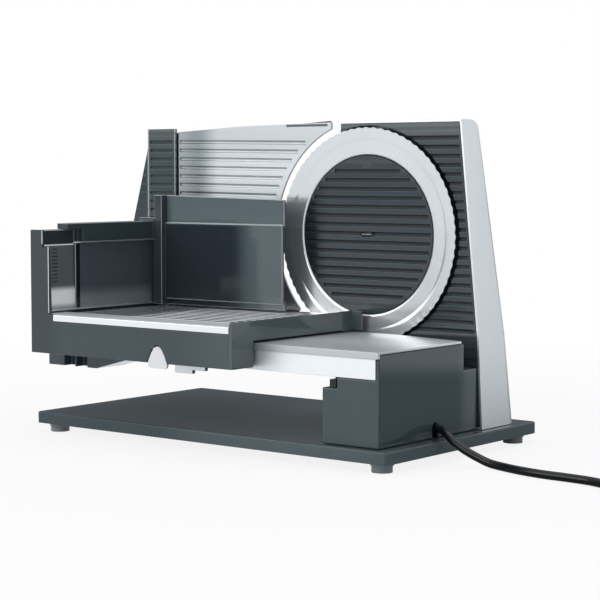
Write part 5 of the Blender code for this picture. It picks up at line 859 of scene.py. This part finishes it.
KNOB_X = -156.0
KNOB_HEIGHT = 145.0
ring_marks("knob_grip", ring_tree(JET), 36, 10, 20.8, (1.6, 13.0, 1.5), (KNOB_X, 77.3, KNOB_HEIGHT),
           "thickness_knob")
PRINT_RING = ring_tree(PRINT)
ring_marks("knob_scale", PRINT_RING, 16, 20, 16.0, (3.0, 0.1, 0.5), (KNOB_X, 87.34, KNOB_HEIGHT),
           "thickness_knob")
ring_marks("frame_mark", PRINT_RING, 1, 0, 26.5, (5.0, 0.1, 0.9), (KNOB_X, 69.04, KNOB_HEIGHT),
           "stop_frame")
ring_marks("button_mark", PRINT_RING, 1, 0, 0, (0.7, 0.1, 5.0), (127.6, 68.34, 194.7),
           "switch_button")


# Floor and light

FLOOR_HALF = 8
FLOOR_COLOUR = (0.86, 0.865, 0.87, 1.0)
FLOOR_ROUGHNESS = 0.8
WHITE = (1.0, 1.0, 1.0, 1.0)
MIRRORED_COLOUR = (0.93, 0.97, 1.0, 1.0)
# Ranges, each its start and end and what is reached there: how white the camera sees the floor, by the
# distance from the middle, and the light that gloss mirrors beyond and before the slicer, by X + Y
FLOOR_WHITE = (0.30, 0.85, 0.86, 1.0)
LIGHT_BEYOND = (0.90, 1.10, 0.20, 0.90)
LIGHT_BEFORE = (-0.1, 0.25, 0.95, 0.0)
# The studio that gloss mirrors: the heights and sides over which it gets lighter, and its colours
STUDIO_HEIGHTS = (0.10, 0.75)
STUDIO_SIDES = (-0.2, 0.45)
STUDIO_LOW_LEFT = (0.085, 0.098, 0.105)
STUDIO_LOW_RIGHT = (0.92, 0.97, 1.0)
STUDIO_HIGH = (0.92, 0.96, 1.0)
STUDIO_STRENGTH = 0.9
EVEN_LIGHT_COLOUR = (0.96, 0.98, 1.0, 1.0)
EVEN_LIGHT_STRENGTH = 0.45


def shaders(tree, share, first, second):
    return add(tree, "ShaderNodeMixShader", i0=share, i1=first, i2=second).outputs[0]


def floor():
    """A pale floor: almost white to the camera, and to gloss a light that changes along X + Y."""
    made, tree, shader = shader_tree("pale_floor")
    shader.inputs["Base Color"].default_value = FLOOR_COLOUR
    shader.inputs["Roughness"].default_value = FLOOR_ROUGHNESS
    rays = add(tree, "ShaderNodeLightPath").outputs
    place = coordinates(tree)
    clear = ranged(tree, reckon_vector(tree, "LENGTH", place), *FLOOR_WHITE)
    parts = parts_of(tree, place)
    side = reckon(tree, "ADD", parts[0], parts[1])
    strength = reckon(tree, "MAXIMUM", ranged(tree, side, *LIGHT_BEYOND), ranged(tree, side, *LIGHT_BEFORE))
    white = add(tree, "ShaderNodeEmission", Color=WHITE, Strength=1.0).outputs[0]
    grey = add(tree, "ShaderNodeEmission", Color=MIRRORED_COLOUR, Strength=strength).outputs[0]
    seen = reckon(tree, "MULTIPLY", rays["Is Camera Ray"], clear)
    mirrored = reckon(tree, "MAXIMUM", rays["Is Glossy Ray"], rays["Is Transmission Ray"])
    surface = shaders(tree, mirrored, shaders(tree, seen, shader.outputs[0], white), grey)
    tree.links.new(surface, tree.nodes["Material Output"].inputs["Surface"])
    corners = [(-FLOOR_HALF, -FLOOR_HALF, 0), (FLOOR_HALF, -FLOOR_HALF, 0), (FLOOR_HALF, FLOOR_HALF, 0),
               (-FLOOR_HALF, FLOOR_HALF, 0)]
    mesh = mesh_of("floor", corners, [(0, 1, 2, 3)])
    mesh.materials.append(made)
    ground = linked("floor", mesh)


def surroundings():
    """White behind the slicer, an even light, and for gloss a studio that is dark low on the left."""
    world = bpy.data.worlds.new("studio")
    bpy.context.scene.world = world
    world.use_nodes = True
    tree = world.node_tree
    tree.nodes.clear()
    rays = add(tree, "ShaderNodeLightPath").outputs
    parts = parts_of(tree, add(tree, "ShaderNodeTexCoord").outputs["Generated"])
    height = ranged(tree, parts[2], *STUDIO_HEIGHTS)
    right = ranged(tree, parts[0], *STUDIO_SIDES)
    low = tones(tree, right, STUDIO_LOW_LEFT, STUDIO_LOW_RIGHT)
    sky = tones(tree, height, low, STUDIO_HIGH)
    soft = add(tree, "ShaderNodeBackground", Color=EVEN_LIGHT_COLOUR, Strength=EVEN_LIGHT_STRENGTH).outputs[0]
    room = add(tree, "ShaderNodeBackground", Color=sky, Strength=STUDIO_STRENGTH).outputs[0]
    white = add(tree, "ShaderNodeBackground", Color=WHITE, Strength=1.0).outputs[0]
    seen = shaders(tree, rays["Is Camera Ray"], shaders(tree, rays["Is Glossy Ray"], soft, room), white)
    out = tree.nodes.new("ShaderNodeOutputWorld")
    tree.links.new(seen, out.inputs["Surface"])


def lamp(name, place, target, size, power):
    """A rectangular lamp, its place and size in metres and its power in watts, aimed at a target."""
    data = bpy.data.lights.new(name, "AREA")
    data.shape = "RECTANGLE"
    data.size, data.size_y = size
    data.energy = power
    made = linked(name, data)
    made.location = place
    made.rotation_euler = (Vector(target) - Vector(place)).to_track_quat("-Z", "Y").to_euler()


floor()
surroundings()
lamp("front_softbox", (-0.9, -1.8, 0.9), (0, 0, 0.12), (1.9, 1.3), 22)
lamp("right_softbox", (1.7, 0.9, 0.8), (0, 0, 0.12), (0.8, 1.2), 5)
lamp("top_softbox", (0.0, 0.1, 1.9), (0, 0, 0.1), (1.6, 1.6), 11)

bpy.context.scene.view_settings.view_transform = "Standard"
